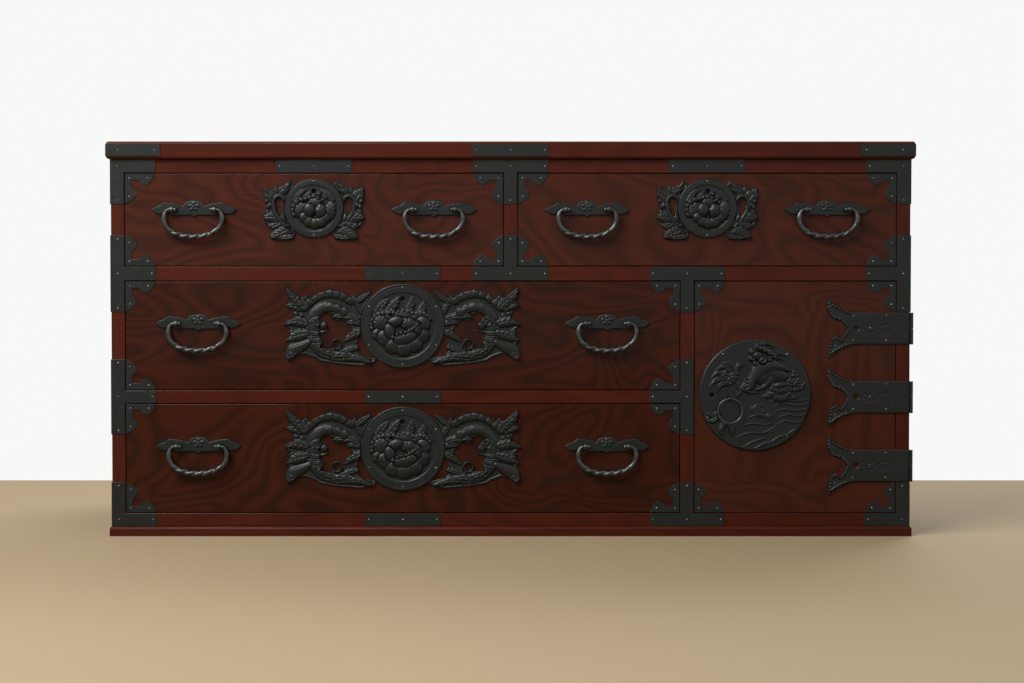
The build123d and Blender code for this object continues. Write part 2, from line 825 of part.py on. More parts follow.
# the round plate, the eyed post that carries the ring, and the lock case behind
ring_hole_radius = ring_bar_radius + ring_hole_clearance
with BuildPart() as door_lock_plate:
    with BuildSketch(front_plane(disc_x, disc_z)):
        RegularPolygon(door_disc_radius, disc_sides)
        with Locations((door_keyhole_x - disc_x, 0)):
            RegularPolygon(keyhole_radius, keyhole_sides, mode=Mode.SUBTRACT)
        with Locations((ring_x - disc_x, ring_z - disc_z)):
            Rectangle(*post_slot, mode=Mode.SUBTRACT)
    extrude(amount=disc_thickness)
    front_face = door_lock_plate.faces().sort_by(Axis.Y)[0]
    chamfer(front_face.outer_wire().edges(), disc_thickness / 2)
    eye_profile(ring_x, ring_z, ring_post_radius, ring_hole_radius, door_thickness, ring_post_width)
    slab(case_x, (case_front_y, case_front_y + lock_case_depth), case_z)
keep(door_lock_plate, "door_lock_plate")


def ring_point(step):
    """A corner of the many-sided ring, counted from the corner that hangs in the eye."""
    turn = 2 * math.pi * step / ring_facets
    return (ring_radius * math.sin(turn), ring_radius * math.cos(turn))


with BuildPart() as door_ring:
    with BuildLine(front_plane(ring_x, ring_z - ring_radius, post_stand_off)) as hoop:
        Polyline(*(ring_point(step) for step in range(ring_facets)), close=True)
    with BuildSketch(Plane(origin=hoop.line @ 0, z_dir=hoop.line % 0)):
        RegularPolygon(ring_bar_radius, bar_sides)
    sweep(transition=Transition.RIGHT)
keep(door_ring, "door_ring")

# ================================================================== strap hinges
hinge_x = side_x + hinge_stand_off
hinge_y = face_y - hinge_stand_off
top_hinge_z = middle_head - iron_reach - hinge_gap - hinge_height / 2
low_hinge_z = lower_sill + iron_reach + hinge_gap + hinge_height / 2
hinge_levels = (low_hinge_z, (low_hinge_z + top_hinge_z) / 2, top_hinge_z)
leaf_clear = knuckle_radius + knuckle_gap


def strap_outline():
    """A strap that forks into two horns round a notched throat, pierced by an eye.

    Its sketch has the carcass corner at x = 0, and the strap runs to the left of it.
    """
    half = hinge_height / 2
    tip = -hinge_length
    horn = hinge_horn
    root = hinge_stand_off - leaf_clear
    with BuildLine() as edge:
        Line((root, half), (tip + 40, half))
        ThreePointArc((tip + 40, half), (tip + 18, 0.69 * horn), (tip, horn))
        Polyline(
            (tip, horn),
            (tip - 2, 0.68 * horn),
            (tip + 6, 0.34 * horn),
            (tip + 19, 0.26 * horn),
            (tip + 29, 0),
            (tip + 19, -0.38 * horn),
            (tip + 12, -0.24 * horn),
            (tip + 3, -0.38 * horn),
            (tip, -horn),
        )
        ThreePointArc((tip, -horn), (tip + 18, -0.69 * horn), (tip + 40, -half))
        Polyline((tip + 40, -half), (root, -half), (root, half))
    make_face(edge.edges())
    with Locations((-hinge_eye_inset, 0)):
        RegularPolygon(hinge_eye_radius, eye_sides, mode=Mode.SUBTRACT)


def knuckles(low, high):
    """One knuckle of a barrel, bored for the pin, in the open part."""
    with BuildSketch(Plane.XY.offset(low)) as barrel:
        with Locations((hinge_x, hinge_y)):
            RegularPolygon(knuckle_radius, barrel_sides)
    extrude(barrel.sketch, amount=high - low)


def pin_bore(low, high):
    """Bore the open part for the hinge pin."""
    with BuildSketch(Plane.XY.offset(low)) as bore:
        with Locations((hinge_x, hinge_y)):
            RegularPolygon(pin_radius + pin_fit, barrel_sides, major_radius=False)
    extrude(bore.sketch, amount=high - low, mode=Mode.SUBTRACT)


with BuildPart() as door_hinge_straps:
    for z in hinge_levels:
        with BuildSketch(front_plane(side_x, z)):
            strap_outline()
        extrude(amount=hinge_thickness)
        eye = (z + knuckle_gap / 2, z + hinge_height / 2)
        slab((hinge_x - leaf_clear, hinge_x), (face_y - hinge_thickness, face_y), eye)
        knuckles(*eye)
        pin_bore(*eye)
keep(door_hinge_straps, "door_hinge_straps")

with BuildPart() as hinge_side_leaves:
    for z in hinge_levels:
        foot = z - hinge_height / 2
        leaf_x = (side_x, side_x + hinge_thickness)
        lower_half = (foot, z - knuckle_gap / 2)
        slab(leaf_x, (hinge_y + leaf_clear, face_y + iron_return), (foot, foot + hinge_height))
        slab(leaf_x, (hinge_y, hinge_y + leaf_clear), lower_half)
        knuckles(*lower_half)
        pin_bore(*lower_half)
keep(hinge_side_leaves, "hinge_side_leaves")

with BuildPart() as hinge_pins:
    for z in hinge_levels:
        with BuildSketch(Plane.XY.offset(z - hinge_height / 2)):
            with Locations((hinge_x, hinge_y)):
                RegularPolygon(pin_radius, barrel_sides)
        extrude(amount=hinge_height)
keep(hinge_pins, "hinge_pins")
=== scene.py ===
"""Dresses the solids of an isho tansu, a Japanese clothing chest, in lacquer and forged iron.

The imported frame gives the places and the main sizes.  X runs to the right, Y to the back and
Z up, in metres.  Wooden solids stay and get a finish and softened edges; the plain ironwork
gets nails, and the raised work of the lock plates, handles and hinges is laid over its solids.
The bails and the door's ring are made anew in place of their solids.
"""

import json
import math

import bpy
import numpy as np
from bpy.props import FloatProperty, FloatVectorProperty, PointerProperty
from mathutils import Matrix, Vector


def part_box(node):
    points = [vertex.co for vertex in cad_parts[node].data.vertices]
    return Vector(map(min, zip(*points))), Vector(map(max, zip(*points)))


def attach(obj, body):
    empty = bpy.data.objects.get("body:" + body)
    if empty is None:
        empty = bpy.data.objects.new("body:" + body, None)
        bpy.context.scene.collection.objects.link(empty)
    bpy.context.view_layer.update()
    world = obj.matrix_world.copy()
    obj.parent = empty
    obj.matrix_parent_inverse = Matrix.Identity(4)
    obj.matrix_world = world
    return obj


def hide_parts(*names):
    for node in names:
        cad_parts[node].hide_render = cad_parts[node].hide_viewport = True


bl_info = {
    "name": "Isho Tansu",
    "version": (1, 0, 0),
    "blender": (4, 5, 0),
    "location": "3D View > Sidebar > Tansu",
    "description": "A Japanese clothing chest in lacquered wood and forged iron",
    "category": "Add Mesh",
}

MM = 0.001

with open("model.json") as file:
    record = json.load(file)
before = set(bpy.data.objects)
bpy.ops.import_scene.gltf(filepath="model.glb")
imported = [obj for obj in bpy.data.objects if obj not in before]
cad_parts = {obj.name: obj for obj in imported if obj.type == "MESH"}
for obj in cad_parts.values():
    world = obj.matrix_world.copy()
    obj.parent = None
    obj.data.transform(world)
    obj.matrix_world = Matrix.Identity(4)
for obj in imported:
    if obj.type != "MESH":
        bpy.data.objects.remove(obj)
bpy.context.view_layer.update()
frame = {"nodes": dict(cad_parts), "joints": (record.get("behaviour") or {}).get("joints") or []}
nodes = frame["nodes"]

SHORT_DRAWERS = ("top_left_drawer", "top_right_drawer")
LONG_DRAWERS = ("middle_drawer", "lower_drawer")
DRAWERS = SHORT_DRAWERS + LONG_DRAWERS
face_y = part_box("middle_drawer_front")[0][1]
joint_at = {joint["name"]: joint.get("pos_m") for joint in frame["joints"]}
swing_of = {joint["name"]: joint.get("range_deg") for joint in frame["joints"]}


# ============================================================ sizes and colours
class TansuStageSettings(bpy.types.PropertyGroup):
    """The floor, the wall, the lamps and the camera."""

    camera_distance: FloatProperty(
        name="Camera distance", description="From the drawer fronts", default=2.606, unit="LENGTH"
    )
    camera_height: FloatProperty(
        name="Camera height", description="Above the floor", default=0.352, unit="LENGTH"
    )
    camera_pitch: FloatProperty(
        name="Camera pitch",
        description="How far the camera looks down",
        default=math.radians(1.4),
        subtype="ANGLE",
    )
    lens: FloatProperty(
        name="Lens", description="Focal length on a 36 mm sensor", default=62.0, unit="CAMERA"
    )
    wall_gap: FloatProperty(
        name="Wall gap", description="From the chest's back to the wall", default=0.35,
        unit="LENGTH",
    )
    floor_color: FloatVectorProperty(
        name="Floor", description="Colour of the floor", default=(0.373, 0.278, 0.160),
        subtype="COLOR",
    )
    wall_color: FloatVectorProperty(
        name="Wall", description="Colour of the wall", default=(0.935, 0.94, 0.94), subtype="COLOR"
    )
    key_power: FloatProperty(
        name="Key lamp", description="The strong lamp, high on the left", default=79.0, unit="POWER"
    )
    fill_power: FloatProperty(
        name="Fill lamp", description="The weak lamp on the right", default=3.0, unit="POWER"
    )
    back_power: FloatProperty(
        name="Back lamp", description="The soft lamp behind the chest", default=62.0, unit="POWER"
    )
    sky_strength: FloatProperty(
        name="Room light", description="Even light from all round", default=0.12, min=0.0
    )


class TansuWoodSettings(bpy.types.PropertyGroup):
    """The lacquered and the bare wood."""

    frame_light: FloatVectorProperty(
        name="Frame, light wood",
        description="Lacquer colour between the growth rings of rails and uprights",
        default=(0.077, 0.0132, 0.0060),
        subtype="COLOR",
    )
    frame_dark: FloatVectorProperty(
        name="Frame, dark wood",
        description="Lacquer colour on the growth rings of rails and uprights",
        default=(0.057, 0.0104, 0.0050),
        subtype="COLOR",
    )
    front_light: FloatVectorProperty(
        name="Fronts, light wood",
        description="Lacquer colour between the growth rings of the short drawers and the door",
        default=(0.070, 0.0165, 0.0082),
        subtype="COLOR",
    )
    front_dark: FloatVectorProperty(
        name="Fronts, dark wood",
        description="Lacquer colour on the growth rings of the short drawers and the door",
        default=(0.041, 0.0120, 0.0066),
        subtype="COLOR",
    )
    # Long drawers: a darker copy of the front lacquer, painted shade lower down the chest.
    long_shaded_light: FloatVectorProperty(
        name="Long fronts, light wood",
        description="Lacquer colour between the growth rings of the long drawers",
        default=(0.052, 0.0108, 0.0046),
        subtype="COLOR",
    )
    long_shaded_dark: FloatVectorProperty(
        name="Long fronts, dark wood",
        description="Lacquer colour on the growth rings of the long drawers",
        default=(0.026, 0.0072, 0.0034),
        subtype="COLOR",
    )
    bare_light: FloatVectorProperty(
        name="Bare wood, light",
        description="Unfinished wood inside the chest",
        default=(0.52, 0.37, 0.22),
        subtype="COLOR",
    )
    bare_dark: FloatVectorProperty(
        name="Bare wood, dark",
        description="Growth rings of the unfinished wood",
        default=(0.40, 0.27, 0.15),
        subtype="COLOR",
    )
    edge_radius: FloatProperty(
        name="Edge radius", description="Worn edge of each board", default=0.8 * MM, unit="LENGTH"
    )


class TansuIronSettings(bpy.types.PropertyGroup):
    """The blackened iron and its raised work."""

    iron_color: FloatVectorProperty(
        name="Iron", description="Blackened iron", default=(0.0180, 0.0218, 0.0214), subtype="COLOR"
    )
    rust_color: FloatVectorProperty(
        name="Iron, brown", description="Where it has browned", default=(0.0186, 0.0188, 0.0160),
        subtype="COLOR",
    )
    nail_color: FloatVectorProperty(
        name="Nails", description="Nail heads, rubbed bright", default=(0.135, 0.145, 0.142),
        subtype="COLOR",
    )
    worn_color: FloatVectorProperty(
        name="Iron, worn", description="Handles and rings, polished by hands",
        default=(0.062, 0.069, 0.068), subtype="COLOR",
    )
    plate_edge: FloatProperty(
        name="Plate edge", description="Rounding of a plate's edge", default=0.42 * MM,
        unit="LENGTH",
    )
    nail_radius: FloatProperty(
        name="Nail radius", description="Radius of a nail's head", default=1.6 * MM, unit="LENGTH"
    )
    nail_height: FloatProperty(
        name="Nail height", description="Height of a nail's head", default=0.9 * MM, unit="LENGTH"
    )
    sheet_step: FloatProperty(
        name="Relief step", description="Grid of the drawer locks' raised work",
        default=0.65 * MM, unit="LENGTH",
    )


class TansuHandleSettings(bpy.types.PropertyGroup):
    """The swinging bails of the drawers."""

    hook_radius: FloatProperty(
        name="Hook", description="Radius of the bar in the eyes", default=2.4 * MM, unit="LENGTH"
    )
    side_radius: FloatProperty(
        name="Side", description="Radius of the bar at its sides", default=3.9 * MM, unit="LENGTH"
    )
    grip_radius: FloatProperty(
        name="Grip", description="Radius of the twisted grip", default=4.3 * MM, unit="LENGTH"
    )
    ball_radius: FloatProperty(
        name="Ball", description="Radius of the balls on the hooks", default=3.5 * MM, unit="LENGTH"
    )
    twists: FloatProperty(
        name="Twists", description="Full turns of the grip's twist", default=2.6, min=0.0
    )
    half_width: FloatProperty(
        name="Half width", description="Middle to the bar's centre", default=42.9 * MM,
        unit="LENGTH",
    )
    drop: FloatProperty(
        name="Drop", description="Pivot to the lowest of the bar's centre", default=39.6 * MM,
        unit="LENGTH",
    )
    shoulder: FloatProperty(
        name="Shoulder", description="Pivot down to the widest point", default=13 * MM,
        unit="LENGTH",
    )


# ============================================================ places in the frame
PLATE = 1.0 * MM  # frame and corner irons, proud of the wood
WING = 1.6 * MM  # lock wings, straps and handle plates
DISC = 3.0 * MM  # lock discs
RIM_RISE = 0.9 * MM  # a lock disc's rim, above the disc
IRON_REACH = 46 * MM  # a frame iron's arm, past the joint
POST_SPACING = 62.8 * MM  # between the two split pins of a handle
LEAF_HALF = 23.5 * MM  # half the height of a hinge's fixed leaf
BAR_SWELL = 1.12  # the forged ring's bar, over the half thickness of its solid
RELIEF_DIP = 0.12 * MM  # how far a relief's rim goes into the plate under it
NAIL_SINK = 0.1 * MM  # how far a nail's head starts inside the iron
TO_FRONT = (0, -1, 0)
TINY = 1e-18  # keeps a division by a length of nothing finite
RAILS = ("bottom_rail", "lower_rail", "middle_rail", "top_rail")
STRAP_NAILS = (
    (-117.8, 34.2), (-112.8, 18.1), (-83.8, 18.7), (-35.1, 19.5), (-59.2, 0.9),
    (-83.8, -17.6), (-35.1, -17.5), (-110.4, -25.6), (-117.6, -34.9),
)  # from the carcass corner and the strap's middle, in millimetres


def disc_of(node, level):
    """Centre and radius of the round face that a node has in the plane y = level."""
    rim = front_rim(node, level)
    low, high = rim.min((0, 1)), rim.max((0, 1))
    return (low + high) / 2, (high[0] - low[0]) / 2


def strap_levels():
    """The middle heights of the three hinge straps."""
    low, high = (corner[2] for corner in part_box("hinge_side_leaves"))
    return (low + LEAF_HALF, (low + high) / 2, high - LEAF_HALF)


def door_ring_shape():
    """The door ring's pivot, the radius of its circle and that of its bar."""
    low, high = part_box("door_ring")
    bar = (high[1] - low[1]) / 2 * BAR_SWELL
    return joint_at["door_ring_swing"], (high[0] - low[0]) / 2 - bar, bar


def room_under_ring(x, z, level):
    """How high a relief may rise over y = level and stay clear of the ring, pressed right in.

    Under the bar that is the gap to the pivot, less the swing, the bar and a margin, and away
    from the bar it grows by the slope times the distance.
    """
    pivot, radius, bar = door_ring_shape()
    margin, slope = 0.3 * MM, 1.5
    fall = np.clip(pivot[2] - z, 0, None)
    swing = fall * math.tan(math.radians(-swing_of["door_ring_swing"][0]))
    aside = np.abs(np.hypot(x - pivot[0], z - pivot[2] + radius) - radius) - bar - margin
    return level - pivot[1] - swing - bar - margin + slope * np.clip(aside, 0, None)


# ============================================================ surfaces
def add_piece(name, points, quads, body, finish, triangles=None):
    """A piece from arrays of points, quads and triangles, riding on a body of the frame."""
    mesh = bpy.data.meshes.new(name)
    loops = np.asarray(quads, np.int32).ravel()
    starts = np.arange(0, len(loops), 4, dtype=np.int32)
    if triangles is not None and len(triangles):
        starts = np.concatenate([starts, len(loops) + np.arange(0, triangles.size, 3)])
        loops = np.concatenate([loops, triangles.ravel()])
    mesh.vertices.add(len(points))
    mesh.vertices.foreach_set("co", np.asarray(points, np.float32).ravel())
    mesh.loops.add(len(loops))
    mesh.loops.foreach_set("vertex_index", loops.astype(np.int32))
    mesh.polygons.add(len(starts))
    mesh.polygons.foreach_set("loop_start", starts.astype(np.int32))
    mesh.update(calc_edges=True)
    mesh.validate()
    mesh.polygons.foreach_set("use_smooth", np.ones(len(mesh.polygons), bool))
    piece = bpy.data.objects.new(name, mesh)
    bpy.context.scene.collection.objects.link(piece)
    mesh.materials.append(bpy.data.materials[finish])
    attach(piece, body)
    return piece


def grid_quads(rows, columns, wrap_rows=False, wrap_columns=False):
    """The quads between neighbouring points of a grid, closed on itself where it wraps."""
    row = np.arange(rows if wrap_rows else rows - 1)
    column = np.arange(columns if wrap_columns else columns - 1)
    row, column = (axis.ravel() for axis in np.meshgrid(row, column, indexing="ij"))
    next_row = (row + 1) % rows
    next_column = (column + 1) % columns
    corners = (
        row * columns + column,
        next_row * columns + column,
        next_row * columns + next_column,
        row * columns + next_column,
    )
    return np.stack(corners, axis=1)


def join(parts):
    """Several (points, quads) surfaces as one."""
    counts = np.cumsum([0] + [len(points) for points, _ in parts[:-1]])
    points = np.concatenate([points for points, _ in parts])
    quads = np.concatenate([quads + first for (_, quads), first in zip(parts, counts)])
    return points, quads


def tube(path, radius):
    """A bar along a path that lies in a plane of constant y, with a radius for each point.

    Point (s, a) is path(s) + radius(s, a) * (cos a * side(s) + sin a * y), where side is
    the path's direction turned by a quarter in its plane.  Its open ends go into balls.
    """
    around = radius.shape[1]
    ahead = np.gradient(path, axis=0)
    ahead /= np.linalg.norm(ahead, axis=1)[:, None]
    side = np.stack([-ahead[:, 2], np.zeros(len(path)), ahead[:, 0]], axis=1)
    turn = np.linspace(0, 2 * np.pi, around, endpoint=False)
    ring = np.cos(turn)[None, :, None] * side[:, None] + np.sin(turn)[None, :, None] * (0, 1, 0)
    points = path[:, None] + radius[..., None] * ring
    return points.reshape(-1, 3), grid_quads(len(path), around, wrap_columns=True)[:, ::-1]


def ball(center, radius):
    """A sphere: latitude down the rows and longitude round them."""
    rows, around = 9, 14
    latitude = np.linspace(-np.pi / 2, np.pi / 2, rows)[:, None]
    longitude = np.linspace(0, 2 * np.pi, around, endpoint=False)[None]
    x = np.cos(latitude) * np.cos(longitude)
    y = np.cos(latitude) * np.sin(longitude)
    z = np.sin(latitude) * np.ones_like(longitude)
    points = np.stack([x, y, z], axis=-1).reshape(-1, 3) * radius + center
    return points, grid_quads(rows, around, wrap_columns=True)[:, ::-1]


def front_rim(node, level):
    """The rim of a node's faces in the plane y = level: edges as pairs of (x, z) points.

    A side that only one of those triangles has lies on the rim.  Places are rounded to a
    micrometre, so that the corners which triangles share come out as the same.
    """
    slack, decimals = 0.02 * MM, 6
    mesh = nodes[node].data
    points = np.empty(len(mesh.vertices) * 3, np.float32)
    mesh.vertices.foreach_get("co", points)
    mesh.calc_loop_triangles()
    corners = np.empty(len(mesh.loop_triangles) * 3, np.int32)
    mesh.loop_triangles.foreach_get("vertices", corners)
    triangles = points.reshape(-1, 3)[corners].reshape(-1, 3, 3).astype(float)
    flat = np.all(np.abs(triangles[:, :, 1] - level) < slack, axis=1)
    spots = np.round(triangles[flat][:, :, (0, 2)].reshape(-1, 2), decimals)
    spots, ids = np.unique(spots, axis=0, return_inverse=True)
    ids = ids.reshape(-1, 3)
    sides = np.sort(np.concatenate([ids[:, (0, 1)], ids[:, (1, 2)], ids[:, (2, 0)]]), axis=1)
    edges, counts = np.unique(sides, axis=0, return_counts=True)
    return spots[edges[counts == 1]]


def rim_depth(points, edges):
    """How far inside the rim each point lies, negative outside, and its nearest rim point.

    A point is inside where a line from it to the right crosses the rim an odd number of times.
    The points are taken in blocks, because each of them is set against every edge.
    """
    block = 4096
    start = edges[:, 0]
    along = edges[:, 1] - start
    length = np.maximum((along**2).sum(1), TINY)
    rise = np.where(along[:, 1] == 0, TINY, along[:, 1])
    depths = []
    nearest = []
    for first in range(0, len(points), block):
        point = points[first : first + block, None]
        share = np.clip(((point - start) * along).sum(2) / length, 0, 1)
        foot = start + share[..., None] * along
        gap = np.linalg.norm(point - foot, axis=2)
        best = gap.argmin(1)
        rows = np.arange(len(best))
        spans = (start[:, 1] > point[..., 1]) != (edges[:, 1, 1] > point[..., 1])
        crossing = start[:, 0] + (point[..., 1] - start[:, 1]) / rise * along[:, 0]
        inside = (spans & (point[..., 0] < crossing)).sum(1) % 2 == 1
        depths.append(np.where(inside, 1, -1) * gap[rows, best])
        nearest.append(foot[rows, best])
    return np.concatenate(depths), np.concatenate(nearest)


def relief_sheet(edges, step, level, height):
    """A raised sheet over an outline: y = level - height(x, z, depth), on a square grid.

    Grid points near the rim slide on to it, so the sheet ends on the outline, and there it
    dips just under the face of the plate that carries it.  A square of the grid that has lost
    one corner keeps the triangle of the other three.
    """
    low = edges.min((0, 1)) - step
    high = edges.max((0, 1)) + 2 * step
    across, up = (np.arange(low[axis], high[axis], step) for axis in (0, 1))
    grid = np.meshgrid(across, up, indexing="ij")
    points = np.stack([axis.ravel() for axis in grid], axis=1)
    depth, nearest = rim_depth(points, edges)
    reach = 0.55 * step
    on_rim = np.abs(depth) < reach
    points[on_rim] = nearest[on_rim]
    depth[on_rim] = 0.0
    solid = depth >= 0
    quads = grid_quads(*grid[0].shape)
    whole = solid[quads]
    triangles = [
        quads[(~whole[:, gone]) & (whole.sum(1) == 3)][:, [c for c in range(4) if c != gone]]
        for gone in range(4)
    ]
    quads = quads[whole.all(1)]
    triangles = np.concatenate(triangles)
    used = np.unique(np.concatenate([quads.ravel(), triangles.ravel()]))
    new_id = np.zeros(len(points), np.int64)
    new_id[used] = np.arange(len(used))
    x, z = points[used].T
    rise = np.where(depth[used] <= 0, -RELIEF_DIP, height(x, z, depth[used]))
    return np.stack([x, level - rise, z], axis=1), new_id[quads], new_id[triangles]


def nail_heads(spots, level, iron, out):
    """Domed nail heads: rings of a quarter ellipse round each spot, facing along out.

    The last ring stops short of the ellipse's end, and a fan of triangles closes it on a tip.
    """
    rows, around, last_ring, tip_share = 3, 8, 0.46 * np.pi, 0.98
    out = np.array(out, float)
    up = np.array((0, 0, 1.0))
    side = np.cross(up, out)
    lift = np.linspace(0, last_ring, rows)[:, None, None]
    turn = np.linspace(0, 2 * np.pi, around, endpoint=False)[None, :, None]
    ring = np.cos(turn) * side + np.sin(turn) * up
    rise = iron.nail_height * np.sin(lift) - NAIL_SINK
    shape = iron.nail_radius * np.cos(lift) * ring + rise * out
    shape = np.concatenate([shape.reshape(-1, 3), [out * iron.nail_height * tip_share]])
    quads = grid_quads(rows, around, wrap_columns=True)[:, ::-1]
    tip = rows * around
    last = tip - around + np.arange(around)
    caps = np.stack([last, np.roll(last, -1), np.full(around, tip)], axis=1)
    spots = np.asarray(spots, float)
    if spots.shape[1] == 2:
        spots = np.stack([spots[:, 0], np.full(len(spots), level), spots[:, 1]], axis=1)
    points = (spots[:, None] + shape[None]).reshape(-1, 3)
    shift = (np.arange(len(spots)) * len(shape))[:, None, None]
    return points, (quads[None] + shift).reshape(-1, 4), (caps[None] + shift).reshape(-1, 3)


def round_spots(center, radius, turns):
    """Spots on a circle, at turns in degrees from the right."""
    turns = np.radians(turns)
    x, z = center[0] + radius * np.cos(turns), center[1] + radius * np.sin(turns)
    return np.stack([x, z], axis=1)


def add_nails(name, spots, level, body, iron, out=TO_FRONT):
    """One piece that holds a group of nails, at (x, z) spots in y = level or at (x, y, z)."""
    points, quads, caps = nail_heads(spots, level, iron, out)
    return add_piece(name, points, quads, body, "nail_iron", caps)


def raise_relief(name, node, level, step, height, body):
    """Raised work over one front face of a frame node."""
    points, quads, triangles = relief_sheet(front_rim(node, level), step, level, height)
    return add_piece(name, points, quads, body, "raised_iron", triangles)


def ring_surface(center, radius, bar):
    """A ring about Y: a circle of the bar's radius carried round a circle."""
    around, section = 56, 14
    turn = np.linspace(0, 2 * np.pi, around, endpoint=False)[:, None, None]
    roll = np.linspace(0, 2 * np.pi, section, endpoint=False)[None, :, None]
    outward = np.cos(turn) * (0, 0, 1) + np.sin(turn) * (1, 0, 0)
    points = center + outward * (radius + bar * np.cos(roll)) + bar * np.sin(roll) * (0, 1, 0)
    quads = grid_quads(around, section, wrap_rows=True, wrap_columns=True)
    return points.reshape(-1, 3), quads


def eye_surface(center):
    """The rounded eye of a split pin: a flat oval carried round the pivot, about X.

    The oval is half_thick * cos(b) thick and half_width * sin(b) wide, with the sine to the
    power 0.7, which fills out its corners.
    """
    around, section = 24, 12
    middle, half_thick, half_width = 3.98 * MM, 0.7 * MM, 2.75 * MM
    turn = np.linspace(0, 2 * np.pi, around, endpoint=False)[:, None]
    roll = np.linspace(0, 2 * np.pi, section, endpoint=False)[None]
    reach = middle + half_thick * np.cos(roll)
    width = half_width * np.sign(np.sin(roll)) * np.abs(np.sin(roll)) ** 0.7
    x = center[0] + width * np.ones_like(turn)
    y = center[1] + reach * np.cos(turn)
    z = center[2] + reach * np.sin(turn)
    points = np.stack([x, y, z], axis=-1).reshape(-1, 3)
    return points, grid_quads(around, section, wrap_rows=True, wrap_columns=True)


def bail_path(handle):
    """The bail's centre line from its right tip to its left tip, about its pivot.

    Each tip runs level through the eye to the bend and goes down on a quarter ellipse to the
    shoulder, and below the shoulders the line is a superellipse of power 2.2.  The points are
    then spaced evenly.
    """
    tip, bend = 26.9 * MM, 35.0 * MM  # from the bail's middle
    power, count = 2 / 2.2, 150
    quarter = np.linspace(0, np.pi / 2, 24)
    corner_x = bend + (handle.half_width - bend) * np.sin(quarter)
    corner_z = -handle.shoulder * (1 - np.cos(quarter))
    turn = np.linspace(0, np.pi, 120)
    bow_x = handle.half_width * np.sign(np.cos(turn)) * np.abs(np.cos(turn)) ** power
    bow_z = -handle.shoulder - (handle.drop - handle.shoulder) * np.sin(turn) ** power
    x = np.concatenate([[tip], corner_x[:-1], bow_x, -corner_x[-2::-1], [-tip]])
    z = np.concatenate([[0], corner_z[:-1], bow_z, corner_z[-2::-1], [0]])
    run = np.concatenate([[0], np.cumsum(np.hypot(np.diff(x), np.diff(z)))])
    even = np.linspace(0, run[-1], count)
    return np.stack([np.interp(even, run, x), np.zeros(count), np.interp(even, run, z)], axis=1)


def bail_surface(pivot, handle):
    """The forged bail: a bar that swells from its hooks to a rope-twisted grip, with balls.

    The grip's section has two strands: its radius is grip_radius * (1 + 0.42 * (|cos(a -
    twist)| - 0.85)), and the twist grows evenly along the grip.
    """
    around, strand_depth, strand_mean = 20, 0.42, 0.85
    grip_end, fade = 36 * MM, 5 * MM
    path = bail_path(handle) + pivot
    across = np.abs(path[:, 0] - pivot[0])
    fall = pivot[2] - path[:, 2]
    swell = np.clip(fall / handle.shoulder, 0, 1)
    swell = swell * swell * (3 - 2 * swell)
    radius = handle.hook_radius + (handle.side_radius - handle.hook_radius) * swell
    low = (fall > handle.shoulder) & (across < grip_end)
    grip = np.where(low, np.clip((grip_end - across) / fade, 0, 1), 0)
    radius = radius + (handle.grip_radius - handle.side_radius) * grip
    turn = np.linspace(0, 2 * np.pi, around, endpoint=False)[None]
    run = np.cumsum(grip) / grip.sum()
    strands = np.abs(np.cos(turn - 2 * np.pi * handle.twists * run[:, None]))
    reach = radius[:, None] * (1 + grip[:, None] * strand_depth * (strands - strand_mean))
    balls = [ball(end, handle.ball_radius) for end in (path[0], path[-1])]
    return join([tube(path, reach), *balls])


# ============================================================ raised work
def dome(share):
    """A quarter circle's height over its width: 0 at a share of 0 and 1 from 1 on."""
    return np.sqrt(1 - (1 - np.clip(share, 0, 1)) ** 2)


def line_glow(gap, width):
    """1 on a line and falling off on both sides of it, as a bell curve."""
    return np.exp(-((gap / width) ** 2))


def round_top(q):
    """A half circle's height over its width, from q = -1 to q = 1, and 0 outside."""
    return np.sqrt(np.clip(1 - q * q, 0, 1))


def within(q, slope):
    """1 inside a border at q = 1 and 0 outside, rising over the slope just inside it."""
    return np.clip((1 - q) / slope, 0, 1)


def smooth_line(corners, count=40):
    """A Catmull-Rom curve through the corners, as evenly counted points.

    Between two corners it is the cubic whose slope at each of them is half the way from the
    corner before it to the corner after it.
    """
    corners = np.array(corners, float)
    ends = 2 * corners[[0, -1]] - corners[[1, -2]]
    knots = np.concatenate([ends[:1], corners, ends[1:]])
    place = np.linspace(0, len(corners) - 1, count)
    first = np.minimum(place.astype(int), len(corners) - 2)
    t = (place - first)[:, None]
    p0, p1, p2, p3 = (knots[first + shift] for shift in range(4))
    curve = 2 * p1 + (p2 - p0) * t + (2 * p0 - 5 * p1 + 4 * p2 - p3) * t**2
    return 0.5 * (curve + (3 * p1 - p0 - 3 * p2 + p3) * t**3)


def beside_line(u, v, line):
    """The nearest spot of a line to each point: its share of the length, and the signed gap."""
    spots = np.stack([u, v], axis=1)
    start, along = line[:-1], np.diff(line, axis=0)
    length = np.hypot(along[:, 0], along[:, 1])
    gap = spots[:, None] - start
    share = np.clip((gap * along).sum(2) / length**2, 0, 1)
    away = gap - share[..., None] * along
    distance = np.hypot(away[..., 0], away[..., 1])
    best = distance.argmin(1)
    rows = np.arange(len(spots))
    side = along[best, 0] * gap[rows, best, 1] - along[best, 1] * gap[rows, best, 0]
    run = np.concatenate([[0], np.cumsum(length)])
    place = (run[best] + share[rows, best] * length[best]) / run[-1]
    return place, np.copysign(distance[rows, best], side)


def band(u, v, way, halves, base, rise, lines=()):
    """A rounded band along a curve, its half widths spread evenly from end to end.

    Across it the height is base + rise * sqrt(1 - q * q), where q is the gap over the half
    width.  Fine grooves run lengthwise at the given values of q.
    """
    line_depth, line_width = 0.55, 0.06
    place, gap = beside_line(u, v, smooth_line(way))
    half = np.interp(place, np.linspace(0, 1, len(halves)), halves)
    q = gap / half
    height = base + rise * round_top(q)
    for line in lines:
        height = height - line_depth * line_glow(q - line, line_width)
    return within(np.abs(q), 0.12) * height


